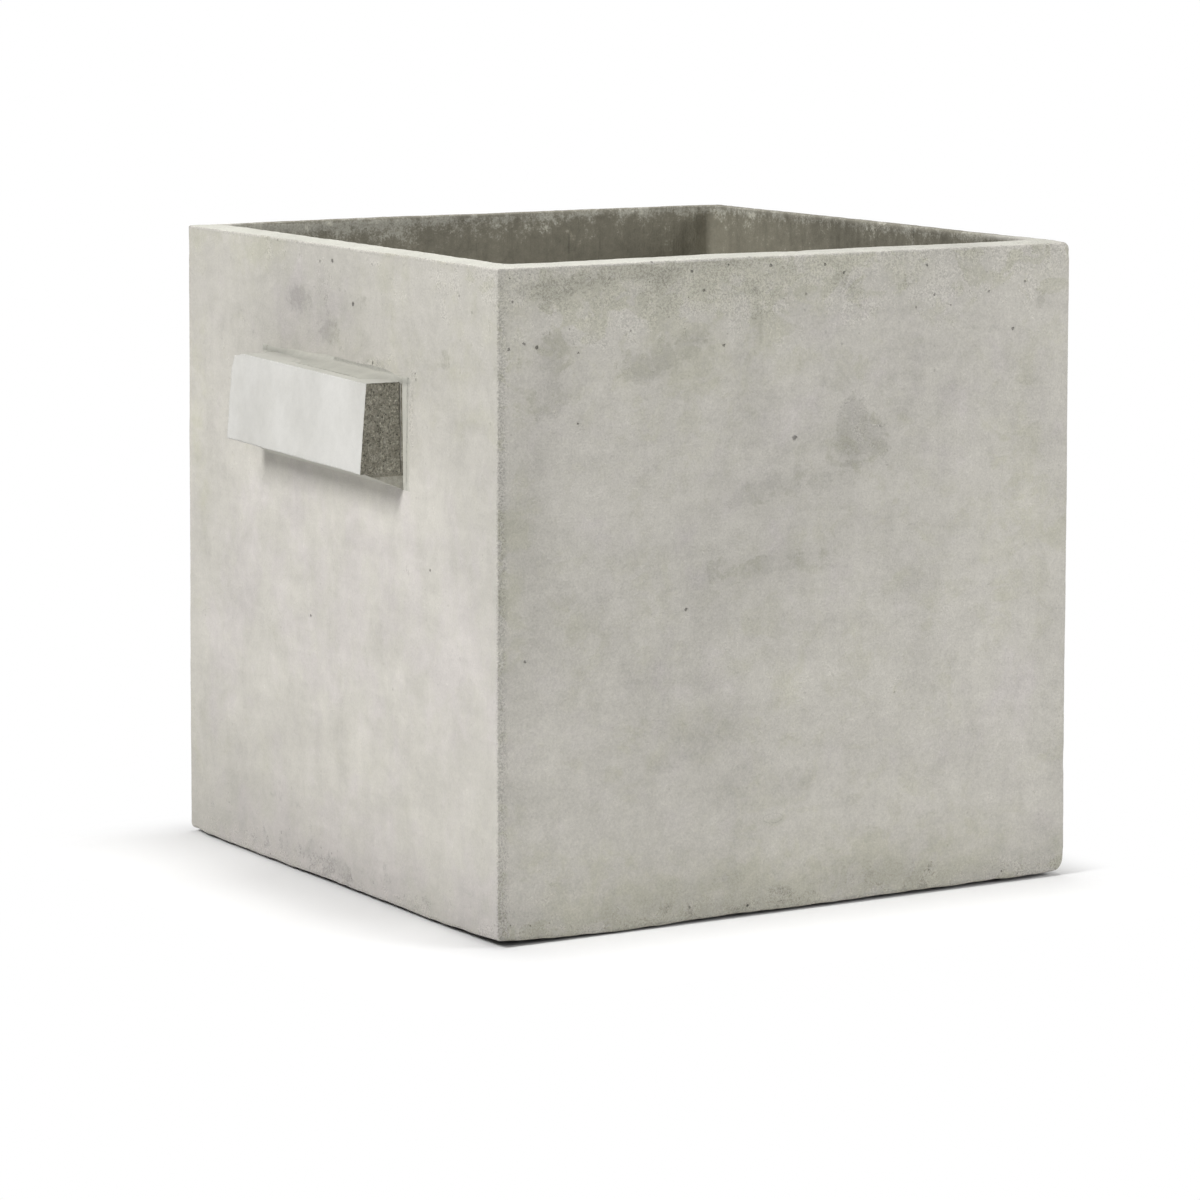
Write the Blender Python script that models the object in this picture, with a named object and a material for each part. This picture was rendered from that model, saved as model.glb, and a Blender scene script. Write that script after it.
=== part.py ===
"""Square planter box cast in concrete, with a block handle on each side wall.

Metres, +Z up. The origin is on the ground under the middle of the box. The front face looks along -Y and
the handles are on the -X and +X walls. Each separate piece of the real box is one object:

- planter_shell, one casting: four tapered walls, the floor, a drain hole and sockets for the dowels
- a handle block on each side, its mortar bed and the two steel dowels that carry its load
- drain_plug, a rubber bung that lifts out of the drain hole
- four rubber pads under the corners
"""

import math

import bmesh
import bpy
from mathutils import Matrix, Vector

# Clearance kept between pieces that touch.
GAP = 0.0003

# The casting, outside. The walls lean in towards the rim so that the box leaves its mould.
RIM_WIDTH = 0.360
RIM_DEPTH = 0.356
CASTING_HEIGHT = 0.350
OUTER_TAPER = 0.0017
CORNER_RADIUS = 0.0025
BOTTOM_EDGE_RADIUS = 0.002
RIM_OUTER_EDGE_RADIUS = 0.0008

# The casting, inside.
RIM_THICKNESS = 0.0142
INNER_TAPER = 0.0016
FLOOR_THICKNESS = 0.018
RIM_INNER_EDGE_RADIUS = 0.0008
INNER_CORNER_RADIUS = 0.005
FLOOR_FILLET = 0.0045

# Drain hole and plug.
DRAIN_RADIUS = 0.0125
PLUG_STEM_LENGTH = 0.015
PLUG_STEM_TAPER = 0.001
PLUG_FLANGE_RADIUS = 0.0175
PLUG_FLANGE_THICKNESS = 0.003
PLUG_EDGE = 0.0008
PLUG_TAB_WIDTH = 0.020
PLUG_TAB_HEIGHT = 0.018
PLUG_TAB_THICKNESS = 0.0045

# Foot pads.
PAD_RADIUS = 0.015
PAD_THICKNESS = 0.0022
PAD_INSET = 0.030
PAD_EDGE = 0.0004

# Handle blocks. The front face leans, so a block is deeper at its lower edge.
HANDLE_LENGTH = 0.156
HANDLE_HEIGHT = 0.0482
HANDLE_REACH_TOP = 0.0216
HANDLE_REACH_BOTTOM = 0.0259
HANDLE_EDGE = 0.0009
HANDLE_CENTRE_HEIGHT = 0.2612
HANDLE_TILT = math.radians(-1.5)

# Mortar that beds a block on its wall, coved above it and wedged below it.
MORTAR_BED = 0.0012
MORTAR_LIP = 0.0003
MORTAR_COVE_HEIGHT = 0.0040
MORTAR_COVE_REACH = 0.0150
MORTAR_WEDGE_HEIGHT = 0.0090
MORTAR_WEDGE_REACH = 0.0225
MORTAR_BAND = 0.005

# Steel dowels, half hidden in the wall and half in the block.
DOWEL_RADIUS = 0.003
DOWEL_IN_WALL = 0.0085
DOWEL_IN_HANDLE = 0.0155
DOWEL_SPACING = 0.090

# Facets.
CORNER_STEPS = 5
EDGE_STEPS = 3
COVE_STEPS = 5
ROUND_STEPS = 32
DOWEL_STEPS = 16
SMOOTH_ANGLE = math.radians(35)

UNDERSIDE = PAD_THICKNESS + GAP
SIDES = (("left", math.pi), ("right", 0.0))


def clear_scene():
    for old in list(bpy.data.objects):
        bpy.data.objects.remove(old, do_unlink=True)


def make_material(name, colour, roughness, metallic=0.0):
    material = bpy.data.materials.new(name)
    material.use_nodes = True
    shader = material.node_tree.nodes["Principled BSDF"]
    shader.inputs["Base Color"].default_value = (*colour, 1.0)
    shader.inputs["Roughness"].default_value = roughness
    shader.inputs["Metallic"].default_value = metallic
    return material


def add_object(name, bm, material=None):
    """Makes an object of a bmesh, with its faces pointing out."""
    bmesh.ops.recalc_face_normals(bm, faces=bm.faces[:])
    mesh = bpy.data.meshes.new(name)
    bm.to_mesh(mesh)
    bm.free()
    mesh.shade_smooth()
    mesh.set_sharp_from_angle(angle=SMOOTH_ANGLE)
    obj = bpy.data.objects.new(name, mesh)
    if material:
        mesh.materials.append(material)
    bpy.context.scene.collection.objects.link(obj)
    return obj


def add_helper(name, bm):
    """An object that only cuts another or is joined to it."""
    helper = add_object(name, bm)
    helper.hide_render = True
    helper.display_type = "WIRE"
    return helper


def boolean(obj, other, operation):
    modifier = obj.modifiers.new(f"{operation.lower()} {other.name}", "BOOLEAN")
    modifier.operation = operation
    modifier.solver = "EXACT"
    modifier.object = other


def arc(centre, radius, start, end, steps):
    """Points of an arc as pairs, from one angle in degrees to another."""
    angles = [math.radians(start + (end - start) * step / steps) for step in range(steps + 1)]
    return [(centre[0] + radius * math.cos(a), centre[1] + radius * math.sin(a)) for a in angles]


def rounded_rectangle(half_x, half_y, radius):
    corners = ((1, 1, 0), (-1, 1, 90), (-1, -1, 180), (1, -1, 270))
    points = []
    for sign_x, sign_y, start in corners:
        centre = (sign_x * (half_x - radius), sign_y * (half_y - radius))
        points += arc(centre, radius, start, start + 90, CORNER_STEPS)
    return points


def loft(rings):
    """A closed body through a stack of rings, each a list of points, capped at both ends."""
    bm = bmesh.new()
    previous = None
    loops = []
    for ring in rings:
        verts = [bm.verts.new(point) for point in ring]
        edges = [bm.edges.new((a, b)) for a, b in zip(verts, verts[1:] + verts[:1])]
        if previous:
            bmesh.ops.bridge_loops(bm, edges=previous + edges)
        previous = edges
        loops.append(verts)
    bm.faces.new(loops[0])
    bm.faces.new(loops[-1])
    return bm


def extrude_outline(outline, length, axis):
    """A closed outline pushed both ways from its plane, to a total length along an axis."""
    bm = bmesh.new()
    start = bm.faces.new([bm.verts.new(Vector(point) - axis * length / 2) for point in outline])
    pushed = bmesh.ops.extrude_face_region(bm, geom=[start])["geom"]
    moved = [item for item in pushed if isinstance(item, bmesh.types.BMVert)]
    bmesh.ops.translate(bm, verts=moved, vec=axis * length)
    return bm


def bevel_edges(bm, edges, width, segments=2):
    bmesh.ops.bevel(bm, geom=edges, offset=width, segments=segments, profile=0.5, affect="EDGES")


def cylinder(radius, length, steps):
    """A cylinder along Z, centred on the origin."""
    bm = bmesh.new()
    bmesh.ops.create_cone(
        bm, cap_ends=True, segments=steps, radius1=radius, radius2=radius, depth=length
    )
    return bm


def rim_edges(bm, height):
    """The round edges of a cylinder's two end faces."""
    return [e for e in bm.edges if all(abs(abs(v.co.z) - height / 2) < GAP / 10 for v in e.verts)]


def outer_inset(height):
    """How far the outer wall stands in from the rim's outline, negative where it stands out."""
    return -OUTER_TAPER * (1 - height / CASTING_HEIGHT)


def inner_inset(height):
    return RIM_THICKNESS + INNER_TAPER * (1 - height / CASTING_HEIGHT)


def casting_profile():
    """(inset, height, corner radius) from the underside's edge, up over the rim and down to the floor."""
    bottom = (outer_inset(0) + BOTTOM_EDGE_RADIUS, BOTTOM_EDGE_RADIUS)
    outer_lip = (RIM_OUTER_EDGE_RADIUS, CASTING_HEIGHT - RIM_OUTER_EDGE_RADIUS)
    inner_lip = (RIM_THICKNESS - RIM_INNER_EDGE_RADIUS, CASTING_HEIGHT - RIM_INNER_EDGE_RADIUS)
    floor = (inner_inset(FLOOR_THICKNESS) + FLOOR_FILLET, FLOOR_THICKNESS + FLOOR_FILLET)
    outside = arc(bottom, BOTTOM_EDGE_RADIUS, 270, 180, EDGE_STEPS)
    outside += arc(outer_lip, RIM_OUTER_EDGE_RADIUS, 180, 90, EDGE_STEPS)
    inside = arc(inner_lip, RIM_INNER_EDGE_RADIUS, 90, 0, EDGE_STEPS)
    inside += arc(floor, FLOOR_FILLET, 180, 270, EDGE_STEPS)
    profile = [
        (inset, height, CORNER_RADIUS - max(inset - outer_inset(height), 0))
        for inset, height in outside
    ]
    profile += [
        (inset, height, INNER_CORNER_RADIUS + inner_inset(height) - inset)
        for inset, height in inside
    ]
    return profile


def make_shell(material):
    rings = []
    for inset, height, radius in casting_profile():
        outline = rounded_rectangle(RIM_WIDTH / 2 - inset, RIM_DEPTH / 2 - inset, radius)
        rings.append([(x, y, height) for x, y in outline])
    shell = add_object("planter_shell", loft(rings), material)
    shell.location.z = UNDERSIDE
    drain = add_helper("drain_hole", cylinder(DRAIN_RADIUS, 4 * FLOOR_THICKNESS, ROUND_STEPS))
    boolean(shell, drain, "DIFFERENCE")
    return shell


def make_handle_seat(side, turn):
    """An empty on a wall's outer face: its x axis points out of the wall, its y axis along the block."""
    seat = bpy.data.objects.new(f"{side}_handle_seat", None)
    lean = math.atan(OUTER_TAPER / CASTING_HEIGHT)
    turned = Matrix.Rotation(turn, 4, "Z")
    reach = RIM_WIDTH / 2 - outer_inset(HANDLE_CENTRE_HEIGHT)
    place = Matrix.Translation((reach, 0, UNDERSIDE + HANDLE_CENTRE_HEIGHT))
    tilted = Matrix.Rotation(-lean, 4, "Y") @ Matrix.Rotation(HANDLE_TILT, 4, "X")
    seat.matrix_world = turned @ place @ tilted
    bpy.context.scene.collection.objects.link(seat)
    return seat


def handle_body():
    back = MORTAR_BED + 2 * GAP
    half = HANDLE_HEIGHT / 2
    outline = (
        (back, 0, -half),
        (HANDLE_REACH_BOTTOM, 0, -half),
        (HANDLE_REACH_TOP, 0, half),
        (back, 0, half),
    )
    bm = extrude_outline(outline, HANDLE_LENGTH, Vector((0, 1, 0)))
    outer = [e for e in bm.edges if any(v.co.x > back + GAP for v in e.verts)]
    bevel_edges(bm, outer, HANDLE_EDGE)
    return bm


def mortar_body():
    """The bed with its cove and wedge: a section that wraps the block above, behind and below."""
    half = HANDLE_HEIGHT / 2
    face = GAP + MORTAR_BED
    cove = [
        (
            GAP + (MORTAR_COVE_REACH - GAP) * (1 - math.sin(angle)),
            half + GAP + MORTAR_LIP + (MORTAR_COVE_HEIGHT - MORTAR_LIP) * (1 - math.cos(angle)),
        )
        for angle in (math.pi / 2 * step / COVE_STEPS for step in range(COVE_STEPS + 1))
    ]
    section = [
        (GAP, -half - MORTAR_WEDGE_HEIGHT),
        (MORTAR_WEDGE_REACH, -half - GAP - MORTAR_LIP),
        (MORTAR_WEDGE_REACH, -half - GAP),
        (face, -half - GAP),
        (face, half + GAP),
        (MORTAR_COVE_REACH, half + GAP),
        *cove,
    ]
    outline = [(x, 0, z) for x, z in section]
    return extrude_outline(outline, HANDLE_LENGTH, Vector((0, 1, 0)))


def band_body():
    """The thin skim of mortar drawn out past both ends of the block."""
    top = HANDLE_HEIGHT / 2 + MORTAR_COVE_HEIGHT - MORTAR_LIP
    bottom = -HANDLE_HEIGHT / 2 - MORTAR_WEDGE_HEIGHT + MORTAR_LIP
    face = GAP + MORTAR_BED
    outline = ((GAP, 0, bottom), (face, 0, bottom), (face, 0, top), (GAP, 0, top))
    return extrude_outline(outline, HANDLE_LENGTH + 2 * MORTAR_BAND, Vector((0, 1, 0)))


def dowel_body(radius, in_wall, in_handle):
    """A rod along x through the wall's face, with the lengths it reaches each way."""
    bm = cylinder(radius, in_wall + in_handle, DOWEL_STEPS)
    turned = Matrix.Rotation(math.pi / 2, 4, "Y")
    middle = Matrix.Translation(((in_handle - in_wall) / 2, 0, 0))
    bmesh.ops.transform(bm, matrix=middle @ turned, verts=bm.verts[:])
    return bm


def make_handle(side, turn, shell, materials):
    """A handle block with its mortar and dowels, all held by one seat on the wall."""
    seat = make_handle_seat(side, turn)
    block = add_object(f"{side}_handle", handle_body(), materials["handle"])
    mortar = add_object(f"{side}_handle_mortar", mortar_body(), materials["mortar"])
    band = add_helper(f"{side}_band", band_body())
    boolean(mortar, band, "UNION")
    held = [block, mortar, band]
    for along in (-DOWEL_SPACING / 2, DOWEL_SPACING / 2):
        end = "front" if along * math.cos(turn) < 0 else "back"
        rod = dowel_body(DOWEL_RADIUS, DOWEL_IN_WALL, DOWEL_IN_HANDLE)
        hole = dowel_body(DOWEL_RADIUS + GAP, DOWEL_IN_WALL + GAP, DOWEL_IN_HANDLE + GAP)
        dowel = add_object(f"{side}_handle_dowel_{end}", rod, materials["dowel"])
        socket = add_helper(f"{side}_socket_{end}", hole)
        for item in (dowel, socket):
            item.location.y = along
        for target in (shell, block, mortar):
            boolean(target, socket, "DIFFERENCE")
        held += [dowel, socket]
    for item in held:
        item.parent = seat


def plug_stem_and_flange():
    """The turned part of the plug, its flange's underside at z = 0 on the axis."""
    top = DRAIN_RADIUS - GAP
    tip = top - PLUG_STEM_TAPER
    profile = [(0, -PLUG_STEM_LENGTH), (tip - PLUG_EDGE, -PLUG_STEM_LENGTH)]
    profile += [(tip, PLUG_EDGE - PLUG_STEM_LENGTH), (top, 0), (PLUG_FLANGE_RADIUS, 0)]
    edge = (PLUG_FLANGE_RADIUS - PLUG_EDGE, PLUG_FLANGE_THICKNESS - PLUG_EDGE)
    profile += arc(edge, PLUG_EDGE, 0, 90, EDGE_STEPS)
    profile.append((0, PLUG_FLANGE_THICKNESS))
    bm = bmesh.new()
    verts = [bm.verts.new((x, 0, z)) for x, z in profile]
    edges = [bm.edges.new(pair) for pair in zip(verts, verts[1:])]
    bmesh.ops.spin(
        bm,
        geom=verts + edges,
        cent=(0, 0, 0),
        axis=(0, 0, 1),
        angle=2 * math.pi,
        steps=ROUND_STEPS,
        use_merge=True,
    )
    bmesh.ops.remove_doubles(bm, verts=bm.verts[:], dist=GAP / 100)
    return bm


def plug_tab():
    """The upright tab that fingers pull: straight sides under a half-round top."""
    radius = PLUG_TAB_WIDTH / 2
    foot = PLUG_FLANGE_THICKNESS / 2
    outline = [(-radius, 0, foot), (radius, 0, foot)]
    crown = PLUG_FLANGE_THICKNESS + PLUG_TAB_HEIGHT - radius
    outline += [(x, 0, z) for x, z in arc((0, crown), radius, 0, 180, 2 * CORNER_STEPS)]
    bm = extrude_outline(outline, PLUG_TAB_THICKNESS, Vector((0, 1, 0)))
    rounded = [e for e in bm.edges if abs(e.verts[0].co.y - e.verts[1].co.y) < GAP]
    bevel_edges(bm, [e for e in rounded if max(v.co.z for v in e.verts) > 2 * foot], PLUG_EDGE)
    return bm


def make_plug(material):
    """The plug stands on the joint's axis, which is the drain hole's."""
    plug = add_object("drain_plug", plug_stem_and_flange(), material)
    tab = add_helper("plug_tab", plug_tab())
    boolean(plug, tab, "UNION")
    for item in (plug, tab):
        item.location.z = UNDERSIDE + FLOOR_THICKNESS + GAP


def make_foot_pads(material):
    reach_x = RIM_WIDTH / 2 - PAD_INSET
    reach_y = RIM_DEPTH / 2 - PAD_INSET
    bm = cylinder(PAD_RADIUS, PAD_THICKNESS, ROUND_STEPS)
    bevel_edges(bm, rim_edges(bm, PAD_THICKNESS), PAD_EDGE, 1)
    first = None
    for end, y in (("front", -reach_y), ("back", reach_y)):
        for side, x in (("left", -reach_x), ("right", reach_x)):
            name = f"foot_pad_{end}_{side}"
            if first is None:
                first = pad = add_object(name, bm, material)
            else:
                pad = bpy.data.objects.new(name, first.data)
                bpy.context.scene.collection.objects.link(pad)
            pad.location = (x, y, PAD_THICKNESS / 2)


def main():
    clear_scene()
    materials = {
        "handle": make_material("handle_concrete", (0.60, 0.60, 0.56), 0.9),
        "mortar": make_material("bedding_mortar", (0.55, 0.55, 0.50), 0.9),
        "dowel": make_material("dowel_steel", (0.50, 0.50, 0.48), 0.4, 1.0),
    }
    shell = make_shell(make_material("cast_concrete", (0.47, 0.46, 0.42), 0.85))
    for side, turn in SIDES:
        make_handle(side, turn, shell, materials)
    make_plug(make_material("plug_rubber", (0.03, 0.03, 0.03), 0.6))
    make_foot_pads(make_material("pad_rubber", (0.02, 0.02, 0.02), 0.7))


main()
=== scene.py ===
"""The looks of a square concrete planter box with block handles, built round its CAD model.

Metres, +Z up, in the CAD model's frame: the front face looks along -Y and the handles are on the -X and +X
walls. Every concrete piece is a fine grid whose points are moved by repeatable noise, so that its walls wave,
its edges crumble and its broken faces are coarse, and its material adds tone, sand and pores.
"""

import itertools
import math

import bmesh
import bpy
import numpy as np
from mathutils import Matrix, Vector


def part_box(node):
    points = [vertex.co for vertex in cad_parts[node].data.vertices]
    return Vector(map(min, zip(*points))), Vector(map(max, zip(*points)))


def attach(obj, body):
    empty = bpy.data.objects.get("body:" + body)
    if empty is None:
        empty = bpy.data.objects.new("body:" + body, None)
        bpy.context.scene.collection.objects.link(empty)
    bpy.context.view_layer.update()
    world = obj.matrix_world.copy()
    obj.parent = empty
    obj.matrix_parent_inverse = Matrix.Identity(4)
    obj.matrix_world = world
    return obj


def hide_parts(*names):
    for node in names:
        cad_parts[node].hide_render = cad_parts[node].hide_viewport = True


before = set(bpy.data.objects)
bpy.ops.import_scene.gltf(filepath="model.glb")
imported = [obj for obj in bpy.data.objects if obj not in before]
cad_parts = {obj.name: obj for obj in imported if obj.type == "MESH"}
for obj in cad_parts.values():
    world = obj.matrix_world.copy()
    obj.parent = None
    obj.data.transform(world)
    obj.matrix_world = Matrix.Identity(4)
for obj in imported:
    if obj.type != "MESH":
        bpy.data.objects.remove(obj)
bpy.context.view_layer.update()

# The casting.
OUTER_TAPER = 0.0017
INNER_TAPER = 0.0016
CORNER_RADII = (0.0024, 0.0024, 0.0013, 0.0020)  # back right, back left, front left, front right
BOTTOM_EDGE_RADIUS = 0.0012
RIM_THICKNESS = 0.0142
RIM_HALF_WIDTH = 0.180
RIM_HALF_DEPTH = 0.178
RIM_OUTER_EDGE_RADIUS = 0.0006
RIM_INNER_EDGE_RADIUS = 0.0012
RIM_TIP = 0.0012  # how much higher the rim stands inside than outside
INNER_CORNER_RADIUS = 0.005
FLOOR_THICKNESS = 0.018
FLOOR_FILLET = 0.0045
DRAIN_RADIUS = 0.0125
DRAIN_EDGE = 0.0008

# The handle blocks and their mortar.
HANDLE_LENGTH = 0.156
HANDLE_HEIGHT = 0.0482
HANDLE_REACH_TOP = 0.0216
HANDLE_REACH_BOTTOM = 0.0259
HANDLE_BACK = 0.0018
HANDLE_EDGE = 0.0009
HANDLE_END_EDGE = 0.0003
HANDLE_END_LEAN = 0.045
HANDLE_CENTRE_HEIGHT = 0.2612
HANDLE_TILT = math.radians(-1.5)
COVE_HEIGHT = 0.0040
COVE_REACH = 0.0150
WEDGE_HEIGHT = 0.0090
WEDGE_REACH = 0.0225
SKIM = 0.0011  # the mortar's thickness behind the block
SKIM_AT_END = 0.0003  # and where it is smeared past the block's ends
SKIM_REACH = 0.0060  # how far past them it goes
SKIM_BURIED = -0.0007  # how far its feather edge lies inside the wall
COVE_FADE = 0.022  # how far from the block's end the cove starts to thin out

# The drain plug, with its flange's lower face at height 0, and its skin's voxel size.
PLUG_STEM_LENGTH = 0.015
PLUG_RIBS = 4
PLUG_RIB_PITCH = 0.0032
PLUG_FLANGE_RADIUS = 0.0175
PLUG_FLANGE_THICKNESS = 0.003
PLUG_TAB_WIDTH = 0.0200
PLUG_TAB_THICKNESS = 0.0045
PLUG_VOXEL = 0.00035

# Grids.
SIDE_STEPS = 130
CORNER_STEPS = 7
HANDLE_CELL = 0.0012
HANDLE_EDGE_CELL = 0.0002
HANDLE_CREASE = 40  # degrees
MORTAR_CELL = 0.0012

# How far crumbling reaches from the casting's edges, how low its foot may sink, and how wide the far rims
# are darkened to the interior's colour.
RIM_ZONE = 0.0045
FOOT_ZONE = 0.014
UNDER_ZONE = 0.011
ARRIS_ZONE = 0.0030
FOOT_DROP = 0.0017
DARK_RIM_WIDTH = 0.016

# Light, in watts for the lamps. The key lamp's bearing runs from -X towards -Y, in degrees.
LIGHT_TARGET = (0.0, 0.0, 0.18)
KEY_BEARING = 12
KEY_ELEVATION = 36
KEY_DISTANCE = 2.5
KEY_SIZE = (0.42, 0.80)
KEY_POWER = 49.0
TOP_PLACE = (0.10, 0.12, 3.2)
TOP_TARGET = (0.0, 0.0, 0.35)
TOP_SIZE = (0.8, 0.8)
TOP_POWER = 44.0
FILL_PLACE = (1.15, -1.25, 0.75)
FILL_TARGET = (0.1, -0.1, 0.18)
FILL_SIZE = (0.9, 0.9)
FILL_POWER = 15.6
WORLD_STRENGTH = 0.17
WHITE = (1.0, 1.0, 1.0, 1.0)
FLOOR_ALBEDO = 0.86
FLOOR_GLOW = 0.84

# The part of the floor that takes the box's shadow: its middle in x and y, half its width, and how far
# round it the floor turns plain white.
LIT_MIDDLE = -0.035
LIT_HALF = 0.205
LIT_FADE = 0.055

CAMERA_PLACE = (-1.36198, -2.23907, 0.54321)
CAMERA_YAW = math.radians(31.088)
CAMERA_PITCH = math.radians(8.633)
CAMERA_ROLL = math.radians(0.088)
CAMERA_LENS = 140.85
CAMERA_SENSOR = 36.0


# ---------------------------------------------------------------- repeatable noise

def lattice(cells, seed):
    """A repeatable number in -1..1 for each lattice cell."""
    mixed = np.full(len(cells), np.uint64(seed * 7919 + 12345), np.uint64)
    for column in range(3):
        mixed ^= cells[:, column].astype(np.uint64) * np.uint64(0x9E3779B97F4A7C15)
        mixed ^= mixed >> np.uint64(29)
        mixed *= np.uint64(0xBF58476D1CE4E5B9)
        mixed ^= mixed >> np.uint64(32)
    return (mixed >> np.uint64(11)).astype(np.float64) / 2.0**52 - 1.0


def noise(points, size, seed, octaves=1):
    """Smooth noise of about -1..1 at each point, its features about as large as size."""
    total = np.zeros(len(points))
    weight = 1.0
    for octave in range(octaves):
        scaled = points / size * 2.0**octave + 31.7 * (seed + octave)
        cell = np.floor(scaled).astype(np.int64)
        share = scaled - cell
        share = share * share * (3 - 2 * share)
        for corner in itertools.product((0, 1), repeat=3):
            step = np.array(corner)
            near = np.prod(np.where(step == 1, share, 1 - share), axis=1)
            total += weight * near * lattice(cell + step, seed + octave)
        weight *= 0.5
    return total


def fade(distance, reach):
    """1 at no distance, falling smoothly to 0 at reach."""
    share = np.clip(1 - np.abs(distance) / reach, 0, 1)
    return share * share * (3 - 2 * share)


# ---------------------------------------------------------------- meshes

def grid_faces(rows, columns, close_rows=False):
    """Quads of a grid that wraps round its columns, and round its rows as well if asked."""
    row = np.arange(rows if close_rows else rows - 1)[:, None]
    column = np.arange(columns)[None, :]
    here, above = row * columns, (row + 1) % rows * columns
    beside = (column + 1) % columns
    corners = [here + column, here + beside, above + beside, above + column]
    return np.stack(corners, axis=-1).reshape(-1, 4)


def grid_normals(grid):
    """Unit normals of a grid of points that wraps round its rows and its columns."""
    along = np.roll(grid, -1, axis=1) - np.roll(grid, 1, axis=1)
    up = np.roll(grid, -1, axis=0) - np.roll(grid, 1, axis=0)
    normals = np.cross(along, up)
    return normals / np.maximum(np.linalg.norm(normals, axis=-1, keepdims=True), 1e-12)


def put_in_scene(name, data):
    obj = bpy.data.objects.new(name, data)
    bpy.context.scene.collection.objects.link(obj)
    return obj


def add_piece(name, points, faces, material, attributes=None, crease=None):
    """A mesh object from arrays, smooth but for creases sharper than an angle, its faces pointing out, with
    named numbers on its points."""
    mesh = bpy.data.meshes.new(name)
    mesh.from_pydata(np.asarray(points).tolist(), [], [list(map(int, face)) for face in faces])
    for label, values in (attributes or {}).items():
        kind = "FLOAT" if np.ndim(values) == 1 else "FLOAT_VECTOR"
        attribute = mesh.attributes.new(label, kind, "POINT")
        field = "value" if kind == "FLOAT" else "vector"
        attribute.data.foreach_set(field, np.asarray(values, np.float32).ravel())
    bm = bmesh.new()
    bm.from_mesh(mesh)
    bmesh.ops.recalc_face_normals(bm, faces=bm.faces[:])
    bm.to_mesh(mesh)
    bm.free()
    mesh.shade_smooth()
    if crease:
        mesh.set_sharp_from_angle(angle=math.radians(crease))
    mesh.materials.append(material)
    return put_in_scene(name, mesh)


def arc(centre, radius, start, end, steps):
    """Points of an arc as pairs, from one angle in degrees to another."""
    angles = np.radians(np.linspace(start, end, steps + 1))
    return [(centre[0] + radius * math.cos(a), centre[1] + radius * math.sin(a)) for a in angles]


def graded(start, end, fine, coarse, reach):
    """Positions from start to end, not counting them, fine near both ends and coarse in the middle."""
    length = abs(end - start)
    steps = []
    at = 0.0
    while at < length:
        nearest = min(at, length - at)
        at += fine + (coarse - fine) * min(nearest / reach, 1.0)
        steps.append(at)
    scale = length / steps[-1]
    return [start + (end - start) * step * scale / length for step in steps[:-1]]


# ---------------------------------------------------------------- materials

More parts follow.
